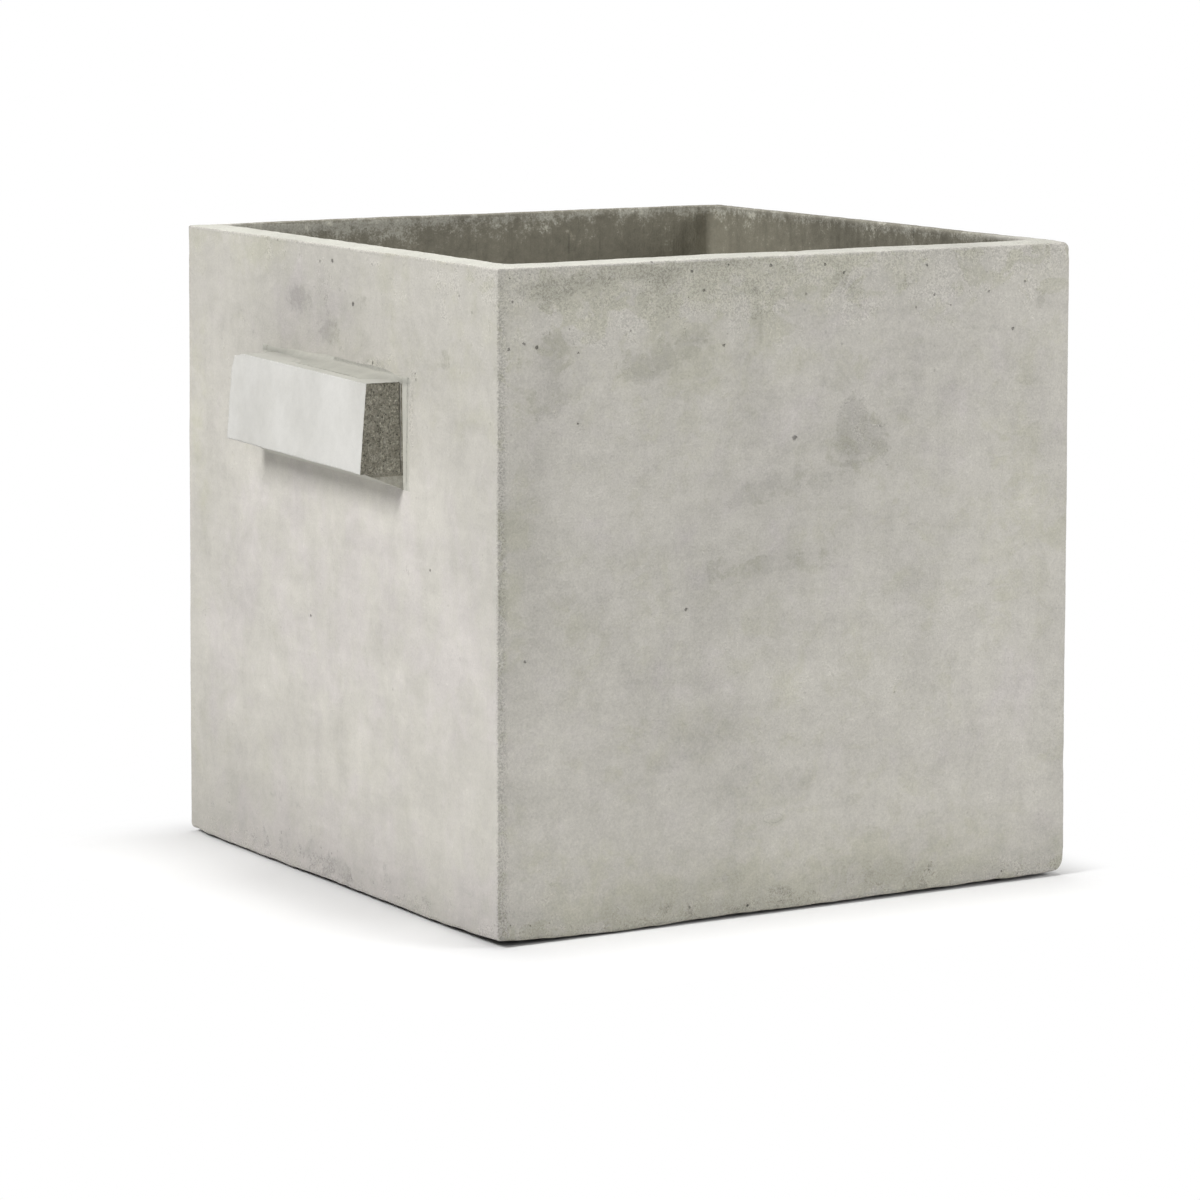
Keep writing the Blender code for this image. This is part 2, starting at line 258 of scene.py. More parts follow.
class Shader:
    """Builds one material's nodes."""

    def __init__(self, name):
        self.material = bpy.data.materials.new(name)
        self.material.use_nodes = True
        self.nodes = self.material.node_tree.nodes
        self.links = self.material.node_tree.links
        self.surface = self.nodes["Principled BSDF"]
        self.place = self.nodes.new("ShaderNodeTexCoord").outputs["Object"]
        self.ragged_place = self.place

    def put(self, socket, value):
        if isinstance(value, bpy.types.NodeSocket):
            self.links.new(value, socket)
        elif value is not None:
            socket.default_value = value

    def node(self, kind, inputs=(), **settings):
        """A new node with its settings made and its inputs, by number or name, set or joined."""
        node = self.nodes.new("ShaderNode" + kind)
        for name, value in settings.items():
            setattr(node, name, value)
        for key, value in dict(inputs).items():
            self.put(node.inputs[key], value)
        return node

    def attribute(self, name, output="Fac"):
        return self.node("Attribute", attribute_name=name).outputs[output]

    def math(self, operation, *values):
        return self.node("Math", enumerate(values), operation=operation).outputs[0]

    def vectors(self, operation, *values):
        node = self.node("VectorMath", enumerate(values), operation=operation)
        return node.outputs["Value" if operation == "LENGTH" else "Vector"]

    def chain(self, operation, total, *values):
        for value in values:
            total = self.math(operation, total, value)
        return total

    def add(self, *values):
        return self.chain("ADD", *values)

    def times(self, *values):
        return self.chain("MULTIPLY", *values)

    def most(self, *values):
        return self.chain("MAXIMUM", *values)

    def layers(self, base, *weighted):
        """The base plus each layer times its weight, given as pairs."""
        return self.add(base, *(self.times(value, weight) for value, weight in weighted))

    def ramp(self, value, low, high, to_low=0.0, to_high=1.0):
        """Smooth steps from to_low, where value is at low, to to_high."""
        values = (value, low, high, to_low, to_high)
        return self.node("MapRange", enumerate(values), interpolation_type="SMOOTHSTEP").outputs[0]

    def noise(self, scale, detail, roughness=0.5, distortion=0.0, stretch=None, shift=None):
        """Noise centred on 0, about -0.35 to 0.35, in coordinates that may be stretched and shifted first."""
        place = self.place
        if stretch or shift:
            place = self.node("Mapping", {"Vector": place, "Scale": stretch, "Location": shift}).outputs[0]
        inputs = {"Vector": place, "Scale": scale, "Detail": detail}
        inputs.update({"Roughness": roughness, "Distortion": distortion})
        return self.math("SUBTRACT", self.node("TexNoise", inputs).outputs["Fac"], 0.5)

    def pits(self, vector, spacing, smallest, largest, share):
        """1 in round pits scattered over a flat pair of coordinates, a share of the cells holding one."""
        cells = self.node("TexVoronoi", {"Vector": vector, "Scale": 1 / spacing}, voronoi_dimensions="2D")
        distance = self.times(cells.outputs["Distance"], spacing)
        chance = self.node("SeparateColor", {0: cells.outputs["Color"]}).outputs[0]
        radius = self.ramp(chance, 1 - share, 1.0, smallest, largest)
        inside = self.ramp(self.math("SUBTRACT", radius, distance), -0.2 * smallest, 0.3 * smallest)
        return self.times(inside, self.math("GREATER_THAN", chance, 1 - share))

    def nudged(self, vector, scale, amount):
        """The vector moved about by noise, by up to about a third of the amount."""
        noisy = self.node("TexNoise", {"Vector": self.place, "Scale": scale}).outputs["Color"]
        noisy = self.vectors("SUBTRACT", noisy, (0.5, 0.5, 0.5))
        return self.vectors("MULTIPLY_ADD", noisy, (amount, amount, amount), vector)

    def reach(self, middle, squash):
        """The distance from a point in metres, each axis multiplied by its squash first."""
        apart = self.vectors("SUBTRACT", self.ragged_place, middle)
        return self.vectors("LENGTH", self.vectors("MULTIPLY", apart, squash))

    def pores(self, places, axis, wall):
        """1 in each of the pores, given as (along, height, radius) on a wall across an axis."""
        made = []
        for along, high, radius in places:
            middle = (along, wall, high) if axis == 0 else (wall, along, high)
            squash = (1.0, 0.05, 1.15) if axis == 0 else (0.05, 1.0, 1.15)
            made.append(self.ramp(self.reach(middle, squash), 1.15 * radius, 0.6 * radius))
        return made

    def ring(self, middle, squash, radius, width):
        """1 on the line of a flattened ring, fading to 0 at its width."""
        off = self.math("ABSOLUTE", self.math("SUBTRACT", self.reach(middle, squash), radius))
        return self.ramp(off, width, 0.3 * width)

    def colour_mix(self, share, a, b):
        inputs = {0: share}
        for socket, value in ((6, a), (7, b)):
            inputs[socket] = (*value, 1.0) if isinstance(value, tuple) else value
        return self.node("Mix", inputs, data_type="RGBA", clamp_factor=True).outputs[2]

    def scaled(self, colour, factor):
        return self.node("VectorMath", {0: colour, "Scale": factor}, operation="SCALE").outputs[0]

    def finish(self, colour, height, roughness, specular):
        """Joins a colour, a height in metres and a roughness to the surface."""
        bump = self.node("Bump", {"Strength": 1.0, "Distance": 1.0, "Height": height}).outputs[0]
        names = ("Base Color", "Normal", "Roughness", "Specular IOR Level")
        for name, value in zip(names, (colour, bump, roughness, specular)):
            self.put(self.surface.inputs[name], value)
        return self.material


# Colours, in linear light.
CONCRETE = (0.512, 0.493, 0.448)
CONCRETE_OLIVE = (0.488, 0.474, 0.402)
CONCRETE_PINK = (0.524, 0.497, 0.470)
SEALED = (0.228, 0.214, 0.167)
SEALED_DUSTY = (0.360, 0.350, 0.300)
UNDERSIDE_PAINTED_SHADE = (0.030, 0.028, 0.024)
UNDERSIDE_PAINTED_SHADE_PALE = (0.045, 0.042, 0.036)
CUT_DARK = (0.255, 0.242, 0.196)
CUT_PALE = (0.320, 0.308, 0.256)
BLOCK = (0.540, 0.532, 0.500)
BLOCK_PALE = (0.555, 0.548, 0.522)
BLOCK_TOP_PAINTED_SHADE = (0.430, 0.424, 0.384)
MORTAR = (0.500, 0.490, 0.440)
MORTAR_OLIVE = (0.485, 0.478, 0.420)
MORTAR_COVE_PAINTED_SHADE = (0.375, 0.370, 0.330)
RIM_PAINTED_LIGHT = (0.615, 0.608, 0.545)
STEEL = (0.48, 0.47, 0.45)
STEEL_HAZED = (0.42, 0.41, 0.37)
PLUG_BLACK = (0.020, 0.020, 0.020)
PLUG_BLOOM = (0.060, 0.058, 0.054)
PAD_BLACK = (0.012, 0.012, 0.012)
PAD_BLOOM = (0.035, 0.034, 0.032)


def shell_material():
    """Cast concrete: cloudy outside, sandy towards its edges, sealed darker and streaky inside, with painted
    light on the tops of the front and left rims and painted shade, near black, on the underside.
    """
    s = Shader("cast_concrete")
    inside = s.attribute("inside")
    edge = s.attribute("edge")
    olive = s.attribute("olive")
    outside = s.math("SUBTRACT", 1.0, inside)

    clouds = s.noise(11.0, 6.0, 0.55, 0.6)
    patchy = s.noise(30.0, 6.0, 0.62, 0.8, shift=(2.0, 5.0, 3.0))
    mottle = s.noise(80.0, 6.0, 0.70, 0.5)
    grain = s.noise(850.0, 2.0, 0.8)
    trowel = s.noise(1.0, 5.0, 0.65, 0.4, stretch=(20.0, 20.0, 105.0))
    runs = s.noise(1.0, 4.0, 0.6, 0.3, stretch=(75.0, 75.0, 13.0))
    hue = s.noise(16.0, 5.0, 0.6, 1.2, stretch=(1.0, 1.0, 0.7), shift=(3.0, 1.0, 2.0))
    speckle = s.noise(880.0, 1.5, 0.7, 0.0, shift=(5.0, 2.0, 1.0))
    frayed = s.noise(240.0, 4.0, 0.8, 0.0, shift=(1.0, 8.0, 3.0))
    tint = s.noise(60.0, 5.0, 0.7, 0.0, shift=(9.0, 4.0, 6.0))
    crust = s.noise(42.0, 7.0, 0.62, 1.1, stretch=(1.0, 1.0, 1.3), shift=(4.0, 4.0, 8.0))
    coarse = s.attribute("coarse")

    ragged = s.layers(s.times(patchy, 1.3), (mottle, 1.8), (frayed, 1.3), (speckle, 0.5))
    sandy = s.times(s.ramp(s.add(s.attribute("sand"), ragged), 0.24, 0.48), outside)
    worn = s.times(s.ramp(s.add(edge, s.times(mottle, 1.1), s.times(speckle, 0.5)), 0.40, 0.80), outside)
    stain = s.times(s.ramp(s.add(s.attribute("stain"), ragged, crust), 0.42, 0.72), outside)
    loose = s.most(sandy, worn)
    specks = s.times(s.ramp(speckle, 0.08, 0.18), loose)
    sparks = s.times(s.ramp(speckle, -0.10, -0.22), loose)

    few = s.ramp(s.add(s.attribute("sand"), s.times(patchy, 1.6)), 0.05, 0.55, 0.12, 1.0)
    film = s.ramp(s.layers(crust, (frayed, 0.25)), 0.010, 0.045)
    film = s.times(film, s.math("MULTIPLY_ADD", few, 0.60, 0.40))
    film = s.times(film, s.times(outside, s.math("MULTIPLY_ADD", coarse, 0.50, 0.50)))

    bent = s.nudged(s.attribute("wall", "Vector"), 520.0, 0.0011)
    s.ragged_place = s.nudged(s.place, 900.0, 0.0016)
    pits = s.times(s.pits(bent, 0.0120, 0.00025, 0.00080, 0.30), few)
    pores = s.pores(FRONT_PORES, 0, -RIM_HALF_DEPTH) + s.pores(LEFT_PORES, 1, -RIM_HALF_WIDTH)
    pocks = s.most(pits, *pores)
    ring = s.ring((-0.0120, -RIM_HALF_DEPTH, 0.0520), (1.0, 0.05, 2.4), 0.0062, 0.0007)
    scratch = s.ring((-0.0755, -RIM_HALF_DEPTH, 0.1683), (1.0, 0.05, 14.0), 0.0070, 0.0018)

    level = s.layers(
        1.0,
        (s.attribute("tone"), s.math("MULTIPLY_ADD", patchy, 1.6, 1.0)),
        (clouds, 0.30),
        (patchy, 0.24),
        (mottle, 0.30),
        (trowel, s.times(outside, 0.20)),
        (runs, 0.12),
        (film, -0.050),
        (frayed, s.math("MULTIPLY_ADD", coarse, 0.18, 0.08)),
        (grain, s.math("MULTIPLY_ADD", coarse, 0.32, 0.12)),
        (stain, -0.15),
        (speckle, s.math("MULTIPLY_ADD", loose, 1.60, 0.20)),
        (specks, -0.40),
        (sparks, 0.34),
        (worn, -0.05),
        (pocks, -0.50),
        (ring, -0.16),
        (scratch, -0.14),
    )
    green = s.layers(olive, (hue, 1.8), (tint, 1.4), (film, 0.55), (stain, 0.20))
    green = s.ramp(green, 0.05, 0.85)
    pink = s.ramp(s.math("SUBTRACT", s.layers(s.times(hue, -2.2), (tint, -1.8)), olive), 0.05, 0.7)
    outer = s.colour_mix(green, CONCRETE, CONCRETE_OLIVE)
    outer = s.colour_mix(pink, outer, CONCRETE_PINK)
    # Painted light: the tops of the front and left rims are made paler.
    outer = s.colour_mix(s.attribute("rim"), outer, RIM_PAINTED_LIGHT)

    streak = s.noise(1.0, 5.0, 0.65, 0.2, stretch=(120.0, 120.0, 10.0))
    drips = s.noise(1.0, 3.0, 0.7, 0.3, stretch=(190.0, 190.0, 11.0), shift=(2.0, 7.0, 1.0))
    dusty = s.attribute("dusty")
    dust = s.layers(dusty, (streak, 0.8), (mottle, 1.6), (frayed, 1.6), (speckle, 0.8))
    dust = s.ramp(dust, 0.20, 0.75)
    scuffs = s.layers(mottle, (patchy, 0.7), (frayed, 0.6), (dusty, 0.12))
    scuffs = s.times(s.ramp(scuffs, 0.18, 0.30), 0.55)
    inner = s.colour_mix(dust, SEALED, SEALED_DUSTY)
    inner_level = s.layers(
        s.add(1.0, s.times(streak, 0.55), s.attribute("tone")),
        (s.ramp(drips, 0.13, 0.24), -0.26),
        (s.ramp(drips, -0.15, -0.27), 0.15),
        (frayed, 0.55),
        (mottle, 0.75),
        (scuffs, 0.60),
        (speckle, s.math("MULTIPLY_ADD", dust, 0.80, 0.25)),
        (clouds, 0.25),
    )
    colour = s.colour_mix(inside, s.scaled(outer, level), s.scaled(inner, inner_level))
    # Painted shade: the underside is coloured near black, so that the gap under the foot reads dark.
    under = s.colour_mix(s.ramp(mottle, -0.2, 0.3), UNDERSIDE_PAINTED_SHADE, UNDERSIDE_PAINTED_SHADE_PALE)
    under = s.scaled(under, s.add(1.0, grain))
    colour = s.colour_mix(s.attribute("under"), colour, under)

    height = s.layers(
        s.times(grain, 0.00022),
        (mottle, 0.00050),
        (s.times(speckle, loose), 0.00060),
        (s.times(streak, inside), 0.0006),
        (pocks, -0.00060),
    )
    roughness = s.ramp(s.add(grain, s.times(clouds, 0.8)), -0.3, 0.3, 0.72, 0.92)
    return s.finish(colour, height, roughness, 0.25)


def raw_concrete(s, coarse, lumps):
    """The colour of cut concrete: dark and gritty, with pale grains and black pits."""
    level = s.layers(
        1.0,
        (coarse, 2.0),
        (lumps, 0.9),
        (s.ramp(coarse, 0.10, 0.20), 0.65),
        (s.ramp(coarse, -0.10, -0.20), -0.45),
    )
    return s.scaled(s.colour_mix(s.ramp(lumps, -0.15, 0.2), CUT_DARK, CUT_PALE), level)


def handle_material():
    """Smooth pale concrete, with coarse dark aggregate where the block's ends were cut off, and painted shade
    on its top.
    """
    s = Shader("handle_concrete")
    clouds = s.noise(26.0, 5.0, 0.6, 0.8)
    mottle = s.noise(130.0, 5.0, 0.7)
    grain = s.noise(1000.0, 3.0, 0.75)
    coarse = s.noise(820.0, 2.0, 0.8)
    lumps = s.noise(260.0, 4.0, 0.75)
    level = s.layers(s.add(1.0, s.attribute("tone")), (clouds, 0.22), (mottle, 0.20), (grain, 0.12))
    face = s.colour_mix(s.ramp(clouds, -0.2, 0.2), BLOCK, BLOCK_PALE)
    # Painted shade: the block's top face is made darker.
    pale = s.scaled(s.colour_mix(s.attribute("top"), face, BLOCK_TOP_PAINTED_SHADE), level)
    share = s.ramp(s.add(s.attribute("broken"), s.times(coarse, 0.35)), 0.40, 0.60)
    colour = s.colour_mix(share, pale, raw_concrete(s, coarse, lumps))
    sand = s.ramp(s.add(s.attribute("edge"), s.times(coarse, 1.1), s.times(mottle, 0.6)), 0.70, 1.05)
    sand = s.times(sand, s.math("SUBTRACT", 1.0, share))
    colour = s.scaled(colour, s.add(1.0, s.times(s.times(sand, coarse), 1.1)))
    height = s.layers(
        s.times(grain, 0.00012),
        (mottle, 0.00030),
        (s.times(coarse, s.most(share, sand)), 0.0015),
        (s.times(lumps, share), 0.0014),
    )
    return s.finish(colour, height, s.ramp(share, 0.0, 1.0, 0.78, 0.95), 0.25)


def mortar_material():
    """Bedding mortar smeared over by hand, the wall's colour, with sandy corners, dark cut ends and painted
    shade on the cove.
    """
    s = Shader("bedding_mortar")
    clouds = s.noise(26.0, 5.0, 0.6, 0.8)
    mottle = s.noise(110.0, 5.0, 0.7, 0.3)
    grain = s.noise(900.0, 3.0, 0.75)
    speckle = s.noise(950.0, 3.0, 0.85)
    lumps = s.noise(260.0, 4.0, 0.75)
    sandy = s.ramp(s.add(s.attribute("sand"), s.times(mottle, 1.5)), 0.30, 0.65)
    dark = s.times(s.ramp(speckle, 0.02, 0.12), sandy)
    level = s.layers(
        1.0,
        (clouds, 0.30),
        (mottle, 0.40),
        (grain, 0.20),
        (s.times(speckle, sandy), 1.4),
        (dark, -0.50),
    )
    base = s.colour_mix(s.ramp(clouds, -0.2, 0.25), MORTAR, MORTAR_OLIVE)
    # Painted shade: the cove over the block is made darker, most where it meets the block.
    base = s.colour_mix(s.attribute("cove"), base, MORTAR_COVE_PAINTED_SHADE)
    raw = s.ramp(s.add(s.attribute("raw"), s.times(speckle, 0.35)), 0.40, 0.60)
    colour = s.colour_mix(raw, s.scaled(base, level), raw_concrete(s, speckle, lumps))
    coarse = s.times(speckle, s.most(sandy, raw))
    height = s.layers(s.times(grain, 0.00018), (mottle, 0.0004), (coarse, 0.0012))
    return s.finish(colour, height, s.ramp(grain, -0.3, 0.3, 0.75, 0.93), 0.25)


def rubber_material(name, dark, light):
    """Moulded rubber with a dusty bloom and fine grain."""
    s = Shader(name)
    bloom = s.noise(160.0, 5.0, 0.7, 0.5)
    grain = s.noise(1800.0, 2.0, 0.6)
    colour = s.colour_mix(s.ramp(bloom, -0.12, 0.30), dark, light)
    colour = s.scaled(colour, s.add(1.0, s.times(grain, 0.5)))
    height = s.add(s.times(grain, 0.00008), s.times(bloom, 0.0001))
    return s.finish(colour, height, s.ramp(bloom, -0.2, 0.3, 0.48, 0.72), 0.45)


def steel_material():
    """Drawn steel rod with cement haze on it."""
    s = Shader("dowel_steel")
    drawn = s.noise(1.0, 4.0, 0.6, 0.0, stretch=(60.0, 2600.0, 2600.0))
    haze = s.noise(300.0, 4.0, 0.7, 0.5)
    share = s.ramp(haze, 0.02, 0.22)
    colour = s.colour_mix(share, STEEL, STEEL_HAZED)
    colour = s.scaled(colour, s.add(1.0, s.times(drawn, 0.35)))
    height = s.add(s.times(drawn, 0.00004), s.times(haze, 0.00006))
    s.surface.inputs["Metallic"].default_value = 0.9
    return s.finish(colour, height, s.ramp(share, 0.0, 1.0, 0.34, 0.75), 0.5)


# ---------------------------------------------------------------- the shell

def outline(half_x, half_y, radii):
    """Points round a rounded rectangle, closer together towards its corners."""
    arcs = []
    corners = ((1, 1, 0), (-1, 1, 90), (-1, -1, 180), (1, -1, 270))
    for radius, (sign_x, sign_y, start) in zip(radii, corners):
        angles = np.radians(np.linspace(start, start + 90, CORNER_STEPS + 1))
        x = sign_x * (half_x - radius) + radius * np.cos(angles)
        y = sign_y * (half_y - radius) + radius * np.sin(angles)
        arcs.append(np.stack([x, y], axis=1))
    even = np.linspace(-1, 1, SIDE_STEPS + 1)
    share = (0.5 * even + 0.5 * np.sin(math.pi / 2 * even) + 1) / 2
    points = []
    for here, after in zip(arcs, arcs[1:] + arcs[:1]):
        points.append(here)
        points.append(here[-1] + (after[0] - here[-1]) * share[1:-1, None])
    return np.concatenate(points)


def shell_rows(height):
    """The casting's profile: (inset from the rim's outline, height, corner radii, share drawn in to the
    drain hole, zone) from the hole's lower edge, outwards, up, over the rim and back down to the hole."""
    def outer(z):
        return -OUTER_TAPER * (1 - z / height)

    def inner(z):
        return RIM_THICKNESS + INNER_TAPER * (1 - z / height)

    def outside(inset, z):
        return [max(radius - max(inset - outer(z), 0.0), 0.0004) for radius in CORNER_RADII]

    rows = []

    def add(places, zone, radii=None, share=0.0):
        for inset, z in places:
            rows.append((inset, z, radii or outside(inset, z), share, zone))

    foot = (outer(0) + BOTTOM_EDGE_RADIUS, BOTTOM_EDGE_RADIUS)
    lip = (RIM_OUTER_EDGE_RADIUS, height - RIM_OUTER_EDGE_RADIUS)
    edge = (RIM_THICKNESS - RIM_INNER_EDGE_RADIUS, height - RIM_INNER_EDGE_RADIUS)
    fillet = (inner(FLOOR_THICKNESS) + FLOOR_FILLET, FLOOR_THICKNESS + FLOOR_FILLET)
    for share in (1.0, 0.97, 0.88, 0.72, 0.5, 0.28, 0.14, 0.09, 0.06, 0.03, 0.012):
        add([(foot[0], 0.0)], "under", share=share)
    add(arc(foot, BOTTOM_EDGE_RADIUS, 270, 180, 3), "outer")
    add([(outer(z), z) for z in graded(BOTTOM_EDGE_RADIUS, lip[1], 0.0010, 0.0062, 0.045)], "outer")
    add(arc(lip, RIM_OUTER_EDGE_RADIUS, 180, 90, 3), "rim")
    add([(inset, height) for inset in np.linspace(RIM_OUTER_EDGE_RADIUS, edge[0], 11)[1:-1]], "rim")
    inside = [INNER_CORNER_RADIUS] * 4
    add(arc(edge, RIM_INNER_EDGE_RADIUS, 90, 0, 3), "rim", inside)
    add([(inner(z), z) for z in graded(edge[1], fillet[1], 0.0014, 0.0085, 0.07)], "inner", inside)
    by_floor = [INNER_CORNER_RADIUS + 0.002] * 4
    add(arc(fillet, FLOOR_FILLET, 180, 270, 4), "inner", by_floor)
    for share in (0.05, 0.16, 0.30, 0.44, 0.58, 0.72, 0.85, 0.94, 0.98):
        add([(fillet[0], FLOOR_THICKNESS)], "floor", by_floor, share)
    for drop in (0.0, 0.5 * DRAIN_EDGE, DRAIN_EDGE, 0.006, 0.012, FLOOR_THICKNESS - DRAIN_EDGE):
        add([(fillet[0], FLOOR_THICKNESS - drop)], "hole", by_floor, 1.0)
    return rows


def patches(along, up, spots):
    """The sum of soft spots on a wall, each (along, height, half width, half height, strength)."""
    total = np.zeros(len(along))
    for at, high, wide, tall, strength in spots:
        distance = ((along - at) / wide) ** 2 + ((up - high) / tall) ** 2
        total += strength * np.exp(-distance)
    return total


# Marks on the two walls that weathered most, as soft spots: (along, height, half width, half height,
# strength), along x on the front wall and along y on the left wall. Tones shade the wall and stains have
# ragged edges. The wide bands along the foot, among tones and stains, are painted shade with some real dirt.
FRONT_TONES = (
    (0.125, 0.130, 0.035, 0.080, 0.055),
    (-0.160, 0.230, 0.018, 0.060, -0.050),
    (0.000, 0.000, 0.300, 0.022, -0.110),
    (0.060, 0.250, 0.060, 0.050, -0.035),
    (-0.090, 0.340, 0.080, 0.014, -0.060),
    (-0.050, 0.205, 0.012, 0.004, 0.060),
    (0.000, 0.262, 0.010, 0.009, 0.090),
    (0.005, 0.139, 0.016, 0.004, -0.050),
)
FRONT_STAINS = (
    (-0.150, 0.343, 0.024, 0.008, 0.85),
    (-0.105, 0.346, 0.032, 0.007, 0.80),
    (-0.040, 0.349, 0.045, 0.005, 0.70),
    (-0.145, 0.311, 0.010, 0.012, 0.85),
    (-0.088, 0.301, 0.020, 0.011, 1.00),
    (-0.062, 0.310, 0.015, 0.008, 0.90),
    (-0.024, 0.314, 0.005, 0.022, 0.75),
    (0.037, 0.256, 0.011, 0.018, 0.95),
    (0.056, 0.251, 0.013, 0.013, 0.75),
    (-0.012, 0.228, 0.055, 0.010, 0.75),
    (-0.008, 0.190, 0.058, 0.009, 0.75),
    (-0.150, 0.290, 0.024, 0.026, 0.50),
    (0.162, 0.322, 0.004, 0.006, 1.00),
    (0.060, 0.335, 0.060, 0.006, 0.50),
    (0.000, 0.010, 0.200, 0.008, 0.45),
)
FRONT_OLIVES = (
    (-0.040, 0.345, 0.160, 0.020, 0.55),
    (-0.060, 0.300, 0.060, 0.020, 0.30),
    (0.000, 0.012, 0.250, 0.024, 0.60),
    (0.148, 0.210, 0.026, 0.060, 0.35),
    (-0.170, 0.200, 0.010, 0.100, 0.35),
    (0.150, 0.110, 0.012, 0.020, -0.55),
    (0.160, 0.030, 0.014, 0.016, -0.60),
    (0.040, 0.325, 0.030, 0.012, -0.35),
)
LEFT_TONES = (
    (0.020, 0.315, 0.065, 0.026, -0.080),
    (-0.140, 0.320, 0.045, 0.030, -0.035),
    (-0.143, 0.252, 0.013, 0.016, -0.080),
    (0.147, 0.254, 0.006, 0.006, -0.070),
    (0.112, 0.082, 0.009, 0.008, 0.080),
    (0.012, 0.107, 0.013, 0.024, 0.070),
    (-0.050, 0.054, 0.008, 0.007, -0.060),
    (0.178, 0.190, 0.006, 0.024, 0.060),
    (0.000, 0.000, 0.300, 0.040, -0.100),
    (0.080, 0.030, 0.080, 0.026, -0.070),
    (-0.010, 0.200, 0.090, 0.030, 0.020),
)
LEFT_STAINS = (
    (0.035, 0.320, 0.022, 0.010, 0.70),
    (0.008, 0.304, 0.016, 0.008, 0.75),
    (-0.030, 0.328, 0.020, 0.009, 0.50),
    (-0.120, 0.308, 0.008, 0.012, 0.50),
    (0.070, 0.040, 0.030, 0.010, 0.45),
    (-0.020, 0.012, 0.150, 0.009, 0.50),
    (0.097, 0.297, 0.003, 0.003, 0.80),
)
LEFT_OLIVES = (
    (0.165, 0.200, 0.014, 0.150, 0.50),
    (0.040, 0.325, 0.045, 0.022, -0.50),
    (-0.150, 0.290, 0.030, 0.050, 0.35),
    (0.100, 0.345, 0.120, 0.014, 0.45),
    (0.000, 0.012, 0.180, 0.030, -0.60),
    (0.130, 0.075, 0.030, 0.025, -0.35),
    (0.100, 0.130, 0.030, 0.040, 0.30),
)

# How far the foot stands above or below its drawn height, as (along, half width, strength) in metres.
FRONT_FOOT = (
    (-0.186, 0.018, 0.0018),
    (-0.105, 0.045, -0.0013),
    (0.015, 0.050, -0.0006),
    (0.130, 0.060, -0.0002),
)
LEFT_FOOT = ((-0.185, 0.034, 0.0019), (0.100, 0.080, -0.0006))

# Corners worn round: (side along x, side along y, whether at the top, radius).
WORN_CORNERS = ((1, -1, False, 0.0085), (1, -1, True, 0.0045), (-1, 1, False, 0.0035))

# Sandy skims on the left wall beside the block, as soft spots along y.
SAND_BESIDE_HANDLE = ((-0.052, 0.293, 0.024, 0.0035, 1.0), (-0.086, 0.262, 0.0025, 0.024, 0.75))

# Single pores: (x, height, radius) on the front wall and (y, height, radius) on the left wall.
FRONT_PORES = (
    (-0.0565, 0.3359, 0.0009),
    (-0.1573, 0.3109, 0.0011),
    (-0.1324, 0.3070, 0.0008),
    (-0.1332, 0.2705, 0.0007),
    (-0.1738, 0.3107, 0.0009),
    (-0.1649, 0.3133, 0.0009),
    (-0.0149, 0.3472, 0.0010),
    (-0.0441, 0.3066, 0.0009),
    (0.1420, 0.3069, 0.0011),
    (0.0848, 0.3435, 0.0009),
    (-0.1650, 0.1493, 0.0009),
    (0.0005, 0.2555, 0.0016),
    (-0.0672, 0.1690, 0.0010),
)
LEFT_PORES = (
    (-0.0223, 0.3223, 0.0014),
    (0.0014, 0.3440, 0.0012),
    (-0.1075, 0.1890, 0.0009),
    (0.0275, 0.1470, 0.0010),
)


def foot_height(along, profile):
    """How far the foot is off its drawn height along a wall."""
    return sum(height * np.exp(-(((along - at) / wide) ** 2)) for at, wide, height in profile)


def worn_corner(depth, radius):
    """How far a corner is worn back at a distance from its foot or its top."""
    near = np.clip((radius - depth) / radius, 0, 1)
    return radius * (1 - np.sqrt(np.maximum(1 - near**2, 0)))


def shell_grid(rows, half_x, half_y):
    """The casting's points, ring by ring, the floor's and the underside's drawn in to the drain hole."""
    rings = []
    for inset, z, radii, share, _ in rows:
        flat = outline(half_x - inset, half_y - inset, radii)
        if share:
            hole = DRAIN_RADIUS + (DRAIN_EDGE if z in (0.0, FLOOR_THICKNESS) else 0.0)
            centred = flat / np.linalg.norm(flat, axis=1, keepdims=True) * hole
            flat = flat + (centred - flat) * share
        rings.append(np.column_stack([flat, np.full(len(flat), z)]))
    return np.array(rings)


def unrolled(grid):
    """Each point's place in metres round and up the casting's skin, which keeps pits round on every wall."""
    round_wall = grid[20]
    sides = np.linalg.norm(np.roll(round_wall, -1, axis=0) - round_wall, axis=1)
    around = np.tile(np.concatenate([[0], np.cumsum(sides[:-1])]), len(grid))
    steps = np.linalg.norm(np.diff(grid[:, 3], axis=0), axis=1)
    path = np.repeat(np.concatenate([[0], np.cumsum(steps)]), grid.shape[1])
    return np.column_stack([around, path, np.zeros(len(path))])


